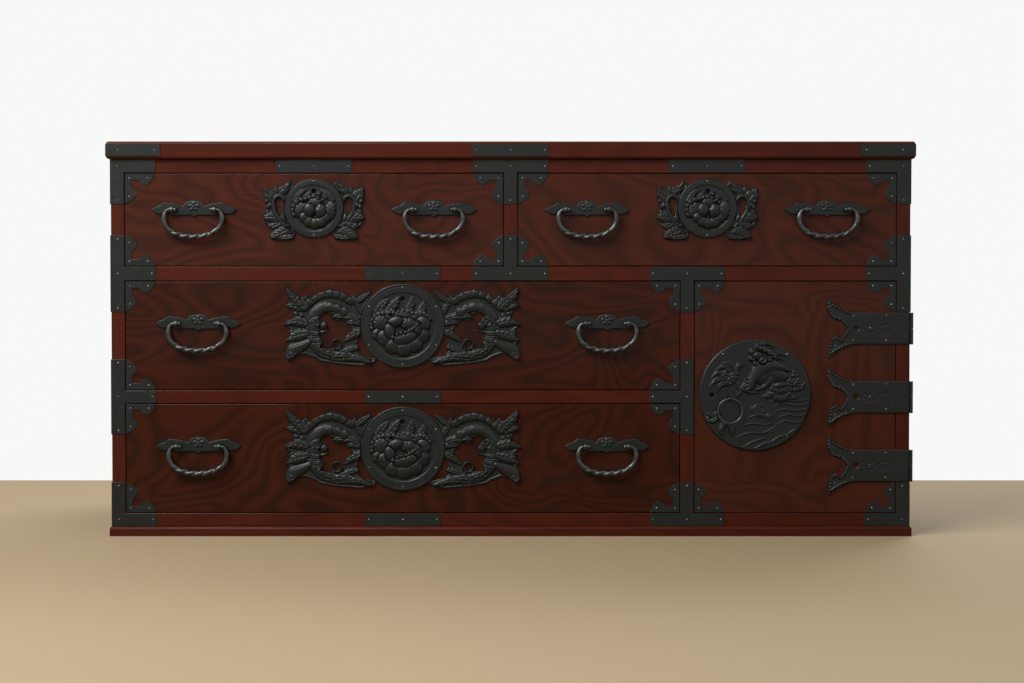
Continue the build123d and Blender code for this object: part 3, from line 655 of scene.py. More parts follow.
def leaf(u, v, way, half, base, rise, lobes=0, lean=0.9):
    """A carved leaf along a curve, pointed at its far end, with a midrib and side veins.

    Its half width is half * sin(pi * (0.24 + 0.76 * s)) ** 0.8 at the share s of its length.
    The veins lie where s * lobes - lean * q passes a whole number, and the edge is
    drawn in there.
    """
    place, gap = beside_line(u, v, smooth_line(way, 24))
    width = half * np.sin(np.pi * (0.24 + 0.76 * place)) ** 0.8 + 0.01
    q = np.abs(gap) / width
    height = round_top(q)
    if lobes:
        vein = np.abs(np.sin(np.pi * (lobes * place - lean * q)))
        q = q * (1.22 - 0.22 * vein**0.5)
        height = round_top(q) * (0.80 + 0.20 * vein**0.6)
        height = height * (1 - 0.28 * line_glow(gap, 0.55))
    return within(q, 0.14) * (base + rise * height)


def pillow(u, v, spot, half, turn, base, rise, lobes=0):
    """A petal on an ellipse: base + rise * sqrt(1 - q) inside it and 0 outside.

    q is the ellipse's own squared radius.  Lobes scallop the outline and leave shallow folds
    that fade towards the middle.
    """
    cos, sin = math.cos(turn), math.sin(turn)
    along = ((u - spot[0]) * cos + (v - spot[1]) * sin) / half[0]
    across = ((v - spot[1]) * cos - (u - spot[0]) * sin) / half[1]
    q = along**2 + across**2
    fold = 1.0
    if lobes:
        wave = np.abs(np.sin(0.5 * lobes * np.arctan2(across, along)))
        q = q * (1.24 - 0.24 * wave**0.5)
        fold = 1 - 0.42 * (1 - wave**0.5) * np.clip(q, 0, 1)
    height = np.sqrt(np.clip(1 - q, 0, 1)) * fold
    return within(q, 0.16) * (base + rise * height)


def petal_ring(u, v, center, count, distance, half, base, rise, span=(0, 360), lobes=0):
    """Petals laid round a centre, each pointing outwards, the highest of them at each point."""
    closed = span[1] - span[0] == 360
    turns = np.radians(np.linspace(span[0], span[1], count, endpoint=not closed))
    petals = []
    for turn in turns:
        spot = (center[0] + distance * math.cos(turn), center[1] + distance * math.sin(turn))
        petals.append(pillow(u, v, spot, half, turn, base, rise, lobes))
    return highest(*petals)


def scales(u, v, way, count, half, base, rise, lobes):
    """Petals laid along a curve like roof tiles, each over the one before it."""
    line = smooth_line(way, 2 * count + 1)
    height = np.zeros_like(u)
    for spot, ahead in zip(line[1:-1:2], line[2::2]):
        turn = math.atan2(ahead[1] - spot[1], ahead[0] - spot[0])
        height = over(height, pillow(u, v, spot, half, turn, base, rise, lobes))
    return height


def beads(u, v, spots, radius, base, rise):
    """A row of small round beads."""
    return highest(*(pillow(u, v, spot, (radius, radius), 0.0, base, rise) for spot in spots))


def over(*layers):
    """Overlapping layers, each later one laid over the earlier ones where it is not bare.

    Where a layer is higher than bare, those under it count for a quarter of their height.
    """
    bare, under = 0.4, 0.25
    height = layers[0]
    for layer in layers[1:]:
        height = np.maximum(layer, np.where(layer > bare, under * height, height))
    return height


def highest(*heights):
    """The highest of several height fields."""
    return np.maximum.reduce(heights)


def great_peony(u, v):
    """The long locks' flower, in millimetres from the disc's centre.

    Pointed leaves and a beaded row stand behind a ring of outer petals, and a cup of inner
    petals stands in front, closed by one broad petal with a beaded lip.
    """
    deg = math.radians
    leaves = highest(
        leaf(u, v, ((-37, 13), (-32, 27), (-21, 40)), 9.5, 0.9, 2.6, 5),
        leaf(u, v, ((-22, 20), (-12, 31), (-4, 43)), 8.0, 0.8, 2.6, 4),
        leaf(u, v, ((8, 20), (13, 31), (14, 43)), 7.0, 0.8, 2.4, 4),
        leaf(u, v, ((24, 16), (30, 26), (32, 36)), 7.0, 0.8, 2.2, 4),
    )
    fringe = smooth_line(
        ((-45.5, -4), (-43, 9), (-31, 18), (-14, 18.5), (3, 22), (18, 18), (31, 18.5), (40, 10)), 17
    )
    back = highest(
        pillow(u, v, (-29, 6), (16.5, 12.5), deg(35), 1.8, 3.2, 11),
        pillow(u, v, (0, 14), (16, 9.5), 0.0, 2.0, 3.4, 9),
        pillow(u, v, (25, 11), (14.5, 10.5), deg(-25), 1.8, 3.2, 10),
        beads(u, v, fringe, 3.8, 2.2, 2.8),
    )
    outer = over(
        pillow(u, v, (-32, 4), (13, 13), 0.0, 1.8, 3.6, 9),
        pillow(u, v, (-37, -13), (9, 10), 0.0, 1.8, 3.2, 6),
        petal_ring(u, v, (0, -3.5), 6, 29.0, (14, 12.5), 1.8, 4.2, (-152, 12), 3),
    )
    lip = smooth_line(((-14, -17), (-5, -12), (4, -10), (11, -7), (17, -3), (23, 2)), 8)
    cup = over(
        pillow(u, v, (20, -5), (10, 14), deg(-12), 2.6, 4.0, 5),
        pillow(u, v, (9, 3), (14.5, 10), deg(-12), 2.8, 4.2, 7),
        pillow(u, v, (-10.5, 6), (13, 8.5), deg(22), 3.0, 4.6),
        pillow(u, v, (-19, -8), (8.5, 12.5), deg(10), 3.0, 4.4),
        pillow(u, v, (4, -17.5), (19, 10), deg(14), 3.4, 4.4),
        beads(u, v, lip, 3.4, 4.6, 3.4),
    )
    return over(highest(leaves, back), outer, cup)


def small_peony(u, v):
    """The short locks' flower, in millimetres from the disc's centre.

    Two round buds stand between beaded and ribbed side petals, over a row of lower petals.
    """
    deg = math.radians
    leaves = highest(
        leaf(u, v, ((-28, 11), (-22, 21), (-10, 28)), 6.0, 0.7, 1.8, 8),
        leaf(u, v, ((27, 12), (20, 20), (10, 27)), 5.5, 0.5, 1.4, 7),
        leaf(u, v, ((-14, 14), (-9, 19), (-4, 24)), 4.0, 0.8, 1.4, 4),
        leaf(u, v, ((14, 12), (16, 18), (17, 25)), 3.6, 0.8, 1.4, 3),
    )
    fringe = smooth_line(((-29, -10), (-31, -1), (-26, 7.5), (-17, 12.5), (-8, 14.5), (1, 16.5)), 8)
    sides = over(
        pillow(u, v, (-18.5, -3), (12.5, 13), deg(-20), 1.6, 2.8, 12),
        pillow(u, v, (24, -4), (9.5, 15.5), deg(-8), 1.6, 3.6, 11),
        beads(u, v, fringe, 3.9, 2.0, 3.0),
    )
    crown = highest(
        pillow(u, v, (1.5, 7.5), (11, 8.5), 0.0, 1.8, 2.8, 7),
        beads(u, v, ((7.0, 15), (8.2, 20.5), (13, 11.5), (17.5, 8)), 2.9, 2.0, 2.6),
    )
    buds = over(
        petal_ring(u, v, (2, -5), 5, 17.5, (8.5, 8), 2.0, 3.6, (-152, -32)),
        pillow(u, v, (10, -4), (9.2, 11.5), deg(-6), 3.0, 4.8, 5),
        pillow(u, v, (-6.5, -2.5), (8.8, 10.8), deg(6), 3.2, 5.0),
    )
    return over(leaves, sides, crown, buds)


def small_blossom(u, v):
    """The handle crown's flower: five petals and a bead.

    Its radius is about 1, and its height is in millimetres.
    """
    return highest(
        petal_ring(u, v, (0, 0), 5, 0.58, (0.44, 0.36), 1.0, 1.2, (90, 450)),
        beads(u, v, ((0, 0),), 0.26, 1.6, 1.0),
    )


def rimmed(reach, field, radius, work):
    """A lock disc: a raised round rim outside a lower field that holds the raised work.

    The rim rises on a quarter circle at its outer edge and on a slope at the field.  A groove
    runs round it, a rounded lip stands beside the field, and the work fades in over the
    field's last 1.2 mm.
    """
    outer = dome((radius - reach) / (1.6 * MM))
    inner = np.clip((reach - field) / (0.9 * MM), 0, 1)
    groove = line_glow(reach - 0.5 * (field + radius) - 2.4 * MM, 0.6 * MM)
    rim = RIM_RISE * outer * inner - 0.25 * MM * groove * inner
    lip = 0.9 * MM * line_glow(reach - field - 0.8 * MM, 0.7 * MM)
    fade = np.clip((field - reach) / (1.2 * MM), 0, 1)
    return 0.15 * MM + np.maximum(rim, lip * (1 - fade)) + work * fade


def nicked(rise, depth, along, pitch):
    """Nicks filed across a bevelled edge, a pitch apart along it, that fade 2.4 mm inside."""
    notch = 1 - np.abs(np.sin(np.pi * along / pitch)) ** 0.6
    return rise * (1 - 0.9 * notch * within(depth / (2.4 * MM), 1))


def carved(depth, work):
    """Raised work on a lock wing, with a raised line that follows the wing's own edge.

    Depth and height are in millimetres, and the edge rises on a quarter circle.
    """
    border = 0.9 * line_glow(depth - 1.5, 0.8)
    return dome(depth / 1.3) * (0.3 + np.maximum(work, border))


def long_scroll(u, v, depth):
    """The long locks' wing, in millimetres from the disc's centre, to the right of it.

    One great scroll bends round the opening, a leafy band follows the top edge, and leaves,
    a horn and a rounded foot stand out on the far side.
    """
    scroll = highest(
        band(
            u, v,
            ((84, 20), (95, 25.5), (108, 28), (121, 25), (130, 15), (133, 2), (133, -12),
             (129, -25), (120, -36), (106, -43), (90, -45.5), (74, -46.5), (60, -49.5), (48, -54)),
            (3.5, 6, 8, 9, 9.8, 10.6, 10.8, 10, 9, 8, 7.8, 7, 6, 3), 0.9, 3.2,
            (0.35, 0.58, 0.78),
        ),
        scales(
            u, v, ((129, 17), (120, 25.5), (107, 27.5), (94, 24), (82, 18)),
            5, (8.5, 7.5), 1.8, 2.4, 3,
        ),
        pillow(u, v, (115, 0.5), (8, 6), math.radians(-25), 1.6, 2.6, 5),
        ring_bump(u, v, (126.5, 4), 3.6, 1.6, 3.6, 1.4),
        ring_bump(u, v, (97.2, -26.8), 7.2, 2.0, 0.6, 2.4),
    )
    foliage = highest(
        leaf(u, v, ((123, -33), (112, -39.5), (98, -41.5)), 6.4, 2.4, 2.6, 3),
        leaf(u, v, ((103, -44), (89, -43), (75, -44)), 6.4, 2.2, 2.6, 3),
        leaf(u, v, ((82, -48), (68, -47.5), (52, -53)), 5.6, 2.0, 2.4, 3),
        leaf(u, v, ((137, 4), (129, 10), (121, 13)), 4.6, 2.6, 2.0, 3),
        leaf(u, v, ((137, -10), (128, -12), (121.5, -9)), 4.6, 2.6, 2.0, 3),
        leaf(u, v, ((134, -20), (127, -22), (120, -18)), 4.4, 2.4, 2.0, 3),
    )
    crest = highest(
        leaf(u, v, ((67, 37), (57, 44), (47, 51)), 7.0, 0.7, 2.4, 5),
        leaf(u, v, ((75, 34), (72, 41), (69, 48)), 5.0, 0.7, 2.2, 3),
        scales(
            u, v, ((73, 35), (84, 41.5), (96, 46), (108, 47.5), (121, 45), (133, 38), (143, 30)),
            7, (8.5, 7.2), 0.9, 2.6, 4,
        ),
        pillow(u, v, (143.4, 41.5), (4.6, 5.2), 0.0, 0.8, 2.6),
        leaf(u, v, ((61, 20), (66, 30), (72, 37)), 4.4, 0.8, 1.8, 3),
        leaf(u, v, ((68, 11), (86, 15), (106, 13)), 6.6, 1.0, 2.4, 3),
        leaf(u, v, ((61, 3), (73, 5.5), (84, 2.5)), 5.6, 0.9, 2.2, 3),
        leaf(u, v, ((60, -8), (74, -13.5), (88, -24)), 7.6, 0.9, 2.8, 4),
        leaf(u, v, ((87, -38), (75, -34), (62, -31)), 5.2, 0.7, 2.2, 4),
    )
    far = over(
        leaf(u, v, ((144, 26), (158, 28.5), (173, 30.5)), 6.8, 0.7, 2.4, 4),
        beads(u, v, ((157, 17.5), (149, 15), (163, 13)), 3.6, 1.0, 2.0),
        leaf(u, v, ((143, 4), (160, 7), (176.5, 2)), 8.8, 1.0, 3.0, 4),
        pillow(u, v, (163, -8.5), (5.5, 3.4), 0.0, 0.8, 1.8),
        leaf(u, v, ((142, -11), (158, -15), (174, -21.5)), 9.2, 1.0, 2.8, 5),
        leaf(u, v, ((145, 28), (156, 40), (165, 48), (170.5, 58)), 10.5, 1.0, 2.8, 5),
        ring_bump(u, v, (153, 38), 3.4, 1.4, 2.8, 1.2),
        band(
            u, v, ((138, -24), (150, -30.5), (162, -36), (168, -48)),
            (5, 8.5, 10.5, 7), 1.0, 3.2, (0.4, 0.7),
        ),
        ring_bump(u, v, (164, -42), 4.2, 1.4, 2.6, 1.2),
    )
    return carved(depth, over(highest(crest, far * (u > 138)), scroll, foliage, far))


def ring_bump(u, v, center, radius, half, base, rise):
    """A raised ring, like a curled tendril seen from in front."""
    q = (np.hypot(u - center[0], v - center[1]) - radius) / half
    return within(np.abs(q), 0.15) * (base + rise * round_top(q))


def short_scroll(u, v, depth):
    """The short locks' wing, in millimetres from the disc's centre, to the right of it."""
    curl_band = band(
        u, v,
        ((43.5, 8), (46, 15), (51.5, 18.2), (57.5, 14.5), (59.5, 5), (57.5, -6), (50, -17),
         (42, -26), (35, -34)),
        (2.4, 3.0, 3.4, 3.4, 3.2, 3.4, 3.2, 2.6, 2.0), 1.0, 2.6, (0.0,),
    )
    leaves = over(
        leaf(u, v, ((52, 21), (43, 31), (34.5, 43)), 9.0, 0.9, 2.6, 3),
        leaf(u, v, ((59, 18), (57, 26), (55.5, 34)), 6.0, 0.9, 2.2, 2),
        leaf(u, v, ((58, 6), (65, 18), (73, 32)), 11.0, 1.0, 2.8, 2),
        beads(u, v, ((70, 10), (69, 1.5), (68, -6), (63.5, 4)), 3.9, 1.0, 2.4),
        leaf(u, v, ((50, -22), (60, -27), (69, -27)), 8.0, 0.9, 2.4, 3),
        leaf(u, v, ((52, -14), (63, -13), (75.5, -14)), 9.5, 1.0, 2.8, 4, 1.6),
        leaf(u, v, ((36, -31), (50, -37), (67, -44)), 10.0, 1.0, 2.8, 5, 1.8),
        leaf(u, v, ((48, -44), (37, -43), (27, -40)), 5.8, 0.9, 2.2, 3),
    )
    bud = pillow(u, v, (45.8, -15), (3.8, 7.2), math.radians(-20), 1.2, 2.4)
    return carved(depth, over(leaves, curl_band, bud))


def min_gap(z, centers):
    """The signed way from the nearest of several heights."""
    gaps = np.stack([z - center for center in centers])
    nearest = np.abs(gaps).argmin(0)
    return np.take_along_axis(gaps, nearest[None], 0)[0]


def vine(u, v):
    """An engraved vine: a wavy stem and spiral curls, 1 on its lines and 0 off them.

    The stem is a sine wave, and the curls lie on a lower wave that mirrors it.
    """
    start, bend = -72, 7.5
    stem = line_glow(v - 6 * np.sin(u / bend), 0.7)
    curls = np.zeros_like(u)
    for step in range(5):
        spot_u = start + bend * math.pi * (step + 0.5) * 0.5
        spot_v = -5.5 * math.sin(spot_u / bend)
        reach = np.hypot(u - spot_u, v - spot_v)
        turn = np.arctan2(v - spot_v, u - spot_u)
        coil = line_glow(np.mod(reach - turn * 0.55, 3.4) - 1.7, 0.55)
        curls = np.maximum(curls, coil * np.clip(5.5 - reach, 0, 1))
    near = np.clip((u + 76) / 4, 0, 1) * np.clip((-22 - u) / 4, 0, 1)
    return np.maximum(stem, curls) * near


def curl(u, v, center, radius, base, rise, hand):
    """A lock of mane or a curled rock: a dome with a spiral groove, wound to either hand."""
    x, y = u - center[0], v - center[1]
    reach = np.hypot(x, y) / radius
    turn = np.arctan2(y, hand * x)
    groove = np.cos(2 * np.pi * (1.5 * reach - turn / (2 * np.pi)))
    height = round_top(reach) * (0.76 + 0.24 * groove)
    return within(reach, 0.2) * (base + rise * height)


def garden_relief(u, v):
    """The door disc's raised scene, in millimetres from its centre."""
    return over(water_and_rocks(u, v), peony_bush(u, v), lion(u, v))


def lion(u, v):
    """A guardian lion that looks back: rump, chest and foreleg in one line, mane and head."""
    deg = math.radians
    body = highest(
        pillow(u, v, (30, 32), (21, 11), deg(-20), 0.8, 3.4),
        pillow(u, v, (12, 28), (12, 14), deg(-20), 0.8, 3.2),
        band(
            u, v, ((52, 36), (37, 42), (21, 43), (8, 38), (1, 29), (-4, 20), (-6, 11)),
            (2, 6, 10, 13, 11.5, 8, 4.5), 0.9, 4.4,
        ),
        band(u, v, ((31, 32), (22, 22), (14, 13), (5, 9)), (8, 7, 4.5, 3), 0.8, 2.8),
        beads(u, v, ((-9, 25), (-10.5, 19.5), (-10, 14), (-10.5, 9), (1, 8.5)), 2.7, 1.0, 2.2),
    )
    curls = (
        (-3, 64, 6.5), (5, 71, 5.5), (14, 68, 6), (22, 64, 6),
        (29, 59, 5.5), (-5, 54, 5), (21, 54, 5.5), (1, 47, 5),
    )
    mane = highest(*(
        curl(u, v, (spot_u, spot_v), size, 2.2, 3.4, 1 if spot_u < 10 else -1)
        for spot_u, spot_v, size in curls
    ))
    head = highest(
        curl(u, v, (11, 52), 8.0, 3.6, 3.2, 1),
        pillow(u, v, (3, 59), (7, 6), deg(20), 3.4, 3.0),
    )
    ribbons = highest(
        leaf(u, v, ((28, 62), (37, 62), (46, 57)), 2.8, 0.8, 1.8),
        leaf(u, v, ((8, 74), (18, 76), (28, 71)), 2.8, 0.8, 1.8),
        leaf(u, v, ((30, 54), (37, 55), (43, 51)), 2.4, 0.8, 1.6),
    )
    return over(ribbons, body, mane, head)


def peony_bush(u, v):
    """Leaves on both sides, two blossoms on the left, and four and a large one on the right."""
    height = np.zeros_like(u)
    sprays = (
        ((-34, 20), (-54, 24), (-68, 12)), ((-32, 26), (-52, 34), (-65, 26)),
        ((-30, 30), (-44, 42), (-58, 38)), ((-26, 32), (-36, 46), (-50, 47)),
        ((-28, 36), (-24, 44), (-14, 45)), ((-36, 18), (-50, 16), (-56, 4)),
        ((-24, 16), (-22, 6), (-28, -3)), ((-20, 12), (-8, 6), (6, 4)),
        ((-20, 10), (-14, 17), (-15, 24)),
        ((-52, -26), (-62, -30), (-72, -27)), ((-54, -32), (-62, -38), (-70, -38)),
        ((-46, -42), (-50, -52), (-46, -62)), ((-38, -44), (-34, -52), (-36, -60)),
        ((26, 8), (20, 0), (10, -3)), ((58, 8), (68, 12), (74, 20)), ((46, 0), (56, -3), (66, -1)),
    )
    for way in sprays:
        height = over(height, leaf(u, v, way, 4.6, 0.8, 2.4, 2))
    blossoms = (
        ((-34, 26), 8), ((-45, 31), 6.5), ((56, 29), 8), ((46, 27), 6.5), ((62, 19), 7.5),
        ((51, 19), 6.5),
    )
    for spot, size in blossoms:
        height = over(
            height,
            petal_ring(u, v, spot, 5, 0.6 * size, (0.5 * size, 0.46 * size), 1.2, 2.2),
            pillow(u, v, spot, (0.4 * size, 0.4 * size), 0.0, 2.4, 2.0),
        )
    great = over(
        petal_ring(u, v, (38, 7), 9, 12, (6.5, 5.2), 1.0, 2.4, (140, 400)),
        pillow(u, v, (39, 8), (12, 8.5), 0.0, 1.8, 2.6, 7),
        pillow(u, v, (37, 15), (11, 5.5), math.radians(12), 2.4, 3.4),
    )
    return over(height, great)


def water_and_rocks(u, v):
    """Low rocks under the lion, a stream to the right of them, and long waves below."""
    ways = (
        ((22, -9), (42, -6), (60, -9), (79, -6)), ((28, -16), (46, -13), (62, -15), (80, -13)),
        ((30, -24), (46, -21), (60, -23), (78, -20)), ((36, -32), (50, -29), (64, -31), (74, -28)),
        ((-18, -77), (-6, -71), (6, -66), (16, -64)), ((0, -79), (12, -73), (26, -68)),
        ((20, -73), (34, -63), (48, -58), (60, -50)), ((-26, -62), (-8, -56), (12, -56), (30, -47)),
        ((34, -42), (46, -38), (58, -41), (70, -38)), ((-4, -20), (4, -15), (14, -17), (18, -24)),
        ((-10, -34), (4, -29), (16, -32), (24, -38)), ((-20, -46), (-4, -42), (12, -44), (26, -42)),
    )
    wave = highest(*(band(u, v, way, (0.5, 1.4, 1.7, 1.4, 0.5), 0.3, 1.0) for way in ways))
    rock = highest(
        pillow(u, v, (6, -24), (15, 10), math.radians(-20), 0.2, 0.8, 5),
        curl(u, v, (21, -31), 5.0, 0.6, 1.6, -1),
    )
    return over(rock, wave)


# ============================================================ finishes
FIRST_COLOR, SECOND_COLOR, MIXED_COLOR = 6, 7, 2  # the colour sockets of a Mix node
BLACK, WHITE = (0, 0, 0), (1, 1, 1)
RING_SHADES = ((0.0, 0.0), (0.16, 0.25), (0.42, 0.9), (0.62, 1.0), (0.85, 0.5), (1.0, 0.0))
LACQUER = {"Coat Weight": 0.11, "Coat Roughness": 0.10, "Specular IOR Level": 0.04}


def new_finish(name):
    """A new material's node tree and its shader."""
    material = bpy.data.materials.new(name)
    material.use_nodes = True
    tree = material.node_tree
    return tree, tree.nodes["Principled BSDF"]


def plug(tree, value, socket):
    """Put a value or another node's output into a socket."""
    if isinstance(value, bpy.types.NodeSocket):
        tree.links.new(value, socket)
    else:
        socket.default_value = value


def math_node(tree, operation, *values):
    """The result of one Math node."""
    node = tree.nodes.new("ShaderNodeMath")
    node.operation = operation
    for value, socket in zip(values, node.inputs):
        plug(tree, value, socket)
    return node.outputs[0]


def noise(tree, scale, detail=2.0, roughness=0.5, distortion=0.0):
    """A noise on the piece's own coordinates, scaled along each axis, in 1/m."""
    place = tree.nodes.new("ShaderNodeTexCoord").outputs["Object"]
    mapping = tree.nodes.new("ShaderNodeMapping")
    mapping.inputs["Scale"].default_value = scale
    tree.links.new(place, mapping.inputs["Vector"])
    node = tree.nodes.new("ShaderNodeTexNoise")
    tree.links.new(mapping.outputs[0], node.inputs["Vector"])
    node.inputs["Scale"].default_value = 1.0
    node.inputs["Detail"].default_value = detail
    node.inputs["Roughness"].default_value = roughness
    node.inputs["Distortion"].default_value = distortion
    return node.outputs["Fac"]


def ramp(tree, value, stops):
    """A colour ramp over a value: stops are (place, grey level) pairs."""
    node = tree.nodes.new("ShaderNodeValToRGB")
    plug(tree, value, node.inputs[0])
    elements = node.color_ramp.elements
    while len(elements) < len(stops):
        elements.new(0.5)
    for element, (place, level) in zip(elements, stops):
        element.position = place
        element.color = (level, level, level, 1)
    return node.outputs[0]


def mixed(tree, share, first, second, blend="MIX"):
    """Two colours blended: the first at a share of 0, and at 1 the second or their product."""
    node = tree.nodes.new("ShaderNodeMix")
    node.data_type = "RGBA"
    node.blend_type = blend
    plug(tree, share, node.inputs["Factor"])
    for value, place in ((first, FIRST_COLOR), (second, SECOND_COLOR)):
        color = value if isinstance(value, bpy.types.NodeSocket) else (*value, 1)
        plug(tree, color, node.inputs[place])
    return node.outputs[MIXED_COLOR]


def bumped(tree, shader, height, depth):
    """Raise the shader's surface by a height pattern, its full swing worth a depth."""
    node = tree.nodes.new("ShaderNodeBump")
    node.inputs["Strength"].default_value = 1.0
    node.inputs["Distance"].default_value = depth
    tree.links.new(height, node.inputs["Height"])
    tree.links.new(node.outputs[0], shader.inputs["Normal"])


def grain_scale(along, lengthwise, across):
    """Scales for a pattern that is drawn out along one axis."""
    return tuple(lengthwise if axis == along else across for axis in "XYZ")


def wood_finish(name, light, dark, along, rings, figure, lengthwise, lacquer):
    """Figured wood: a slow noise is cut into contour lines, as a saw cuts growth rings.

    The noise times the number of rings, less its whole part, runs from 0 to 1 between two
    rings, and a ramp darkens both ends of that run.  The noise's scale is figure across the
    grain and lengthwise along it: the smaller lengthwise is, the straighter the grain.  Fine
    dark streaks along the grain and broad dark clouds lie over it.
    """
    streak_dark, cloud_dark = 0.20, 0.22
    rough, pore_depth = (0.34, 0.05 * MM) if lacquer else (0.62, 0.12 * MM)
    tree, shader = new_finish(name)
    slow = noise(tree, grain_scale(along, lengthwise, figure), 1.8, 0.45, 0.7)
    waver = noise(tree, grain_scale(along, 14, 55), 2.0, 0.5)
    height = math_node(tree, "MULTIPLY_ADD", waver, 0.012, slow)
    run = math_node(tree, "FRACT", math_node(tree, "MULTIPLY", height, float(rings)))
    pale = ramp(tree, run, RING_SHADES)
    streak = noise(tree, grain_scale(along, 9, 620), 3.0, 0.6)
    streak = ramp(tree, streak, ((0.36, 0.0), (0.62, 1.0)))
    cloud = ramp(tree, noise(tree, (3.1, 3.1, 3.1), 2.0), ((0.3, 0.0), (0.7, 1.0)))
    color = mixed(tree, pale, dark, light)
    color = mixed(tree, math_node(tree, "MULTIPLY", streak, streak_dark), color, BLACK)
    color = mixed(tree, math_node(tree, "MULTIPLY", cloud, cloud_dark), color, dark)
    tree.links.new(color, shader.inputs["Base Color"])
    swing = math_node(tree, "MULTIPLY_ADD", cloud, 0.10, rough)
    tree.links.new(swing, shader.inputs["Roughness"])
    if lacquer:
        for socket, value in LACQUER.items():
            shader.inputs[socket].default_value = value
    grain = math_node(tree, "MULTIPLY_ADD", streak, -0.5, math_node(tree, "MULTIPLY", pale, 0.4))
    bumped(tree, shader, grain, pore_depth)


def iron_finish(name, iron, color, hammer, roughness):
    """Blackened iron: near black, faintly browned in patches, pitted and hammered."""
    tree, shader = new_finish(name)
    patch = ramp(tree, noise(tree, (70, 70, 70), 4.0, 0.6), ((0.42, 0.0), (0.66, 1.0)))
    fine = noise(tree, (900, 900, 900), 3.0, 0.6)
    blows = noise(tree, (150, 150, 150), 2.0, 0.5)
    color = mixed(tree, math_node(tree, "MULTIPLY", patch, 0.7), color, iron.rust_color)
    shade = math_node(tree, "MULTIPLY_ADD", fine, 0.5, 0.72)
    color = mixed(tree, 1.0, color, mixed(tree, shade, BLACK, WHITE), "MULTIPLY")
    tree.links.new(color, shader.inputs["Base Color"])
    shader.inputs["Metallic"].default_value = 0.75
    shader.inputs["Specular IOR Level"].default_value = 0.5
    rough = math_node(tree, "MULTIPLY_ADD", patch, 0.14, roughness)
    tree.links.new(rough, shader.inputs["Roughness"])
    height = math_node(tree, "MULTIPLY_ADD", fine, 0.18, blows)
    bumped(tree, shader, height, hammer)


def paint(node, finish):
    """Give a frame node its finish in place of the flat colour that it came with."""
    for place in nodes[node].material_slots:
        place.link = "OBJECT"
        place.material = bpy.data.materials[finish]


def soften(node, width, segments=2):
    """Round a solid's sharp edges a little, as hand planes and wear do.

    Its loose triangles are welded first, and an edge is sharp from 35 degrees on.
    """
    weld = nodes[node].modifiers.new("weld", "WELD")
    weld.merge_threshold = 0.01 * MM
    bevel = nodes[node].modifiers.new("worn edges", "BEVEL")
    bevel.width = width
    bevel.segments = segments
    bevel.limit_method = "ANGLE"
    bevel.angle_limit = math.radians(35)


def raise_lock(name, field_share, flower, scroll, step):
    """Raise the flower and both wings of a drawer's lock plate.

    The flower lies in a field that takes a share of the disc's radius, and the wings mirror
    each other.
    """
    plate = f"{name}_lock"
    center, radius = disc_of(plate, face_y - DISC)

    def disc_height(x, z, depth):
        """The disc: its rim, and the flower in its field."""
        u, v = (x - center[0]) / MM, (z - center[1]) / MM
        return rimmed(np.hypot(u, v) * MM, field_share * radius, radius, flower(u, v) * MM)

    def wing_height(x, z, depth):
        """The wings: the scroll, and its mirror image on the left."""
        u, v = np.abs(x - center[0]) / MM, (z - center[1]) / MM
        return scroll(u, v, depth / MM) * MM

    raise_relief(f"{name}_lock_flower", plate, face_y - DISC, step, disc_height, name)
    raise_relief(f"{name}_lock_scroll", plate, face_y - WING, step, wing_height, name)


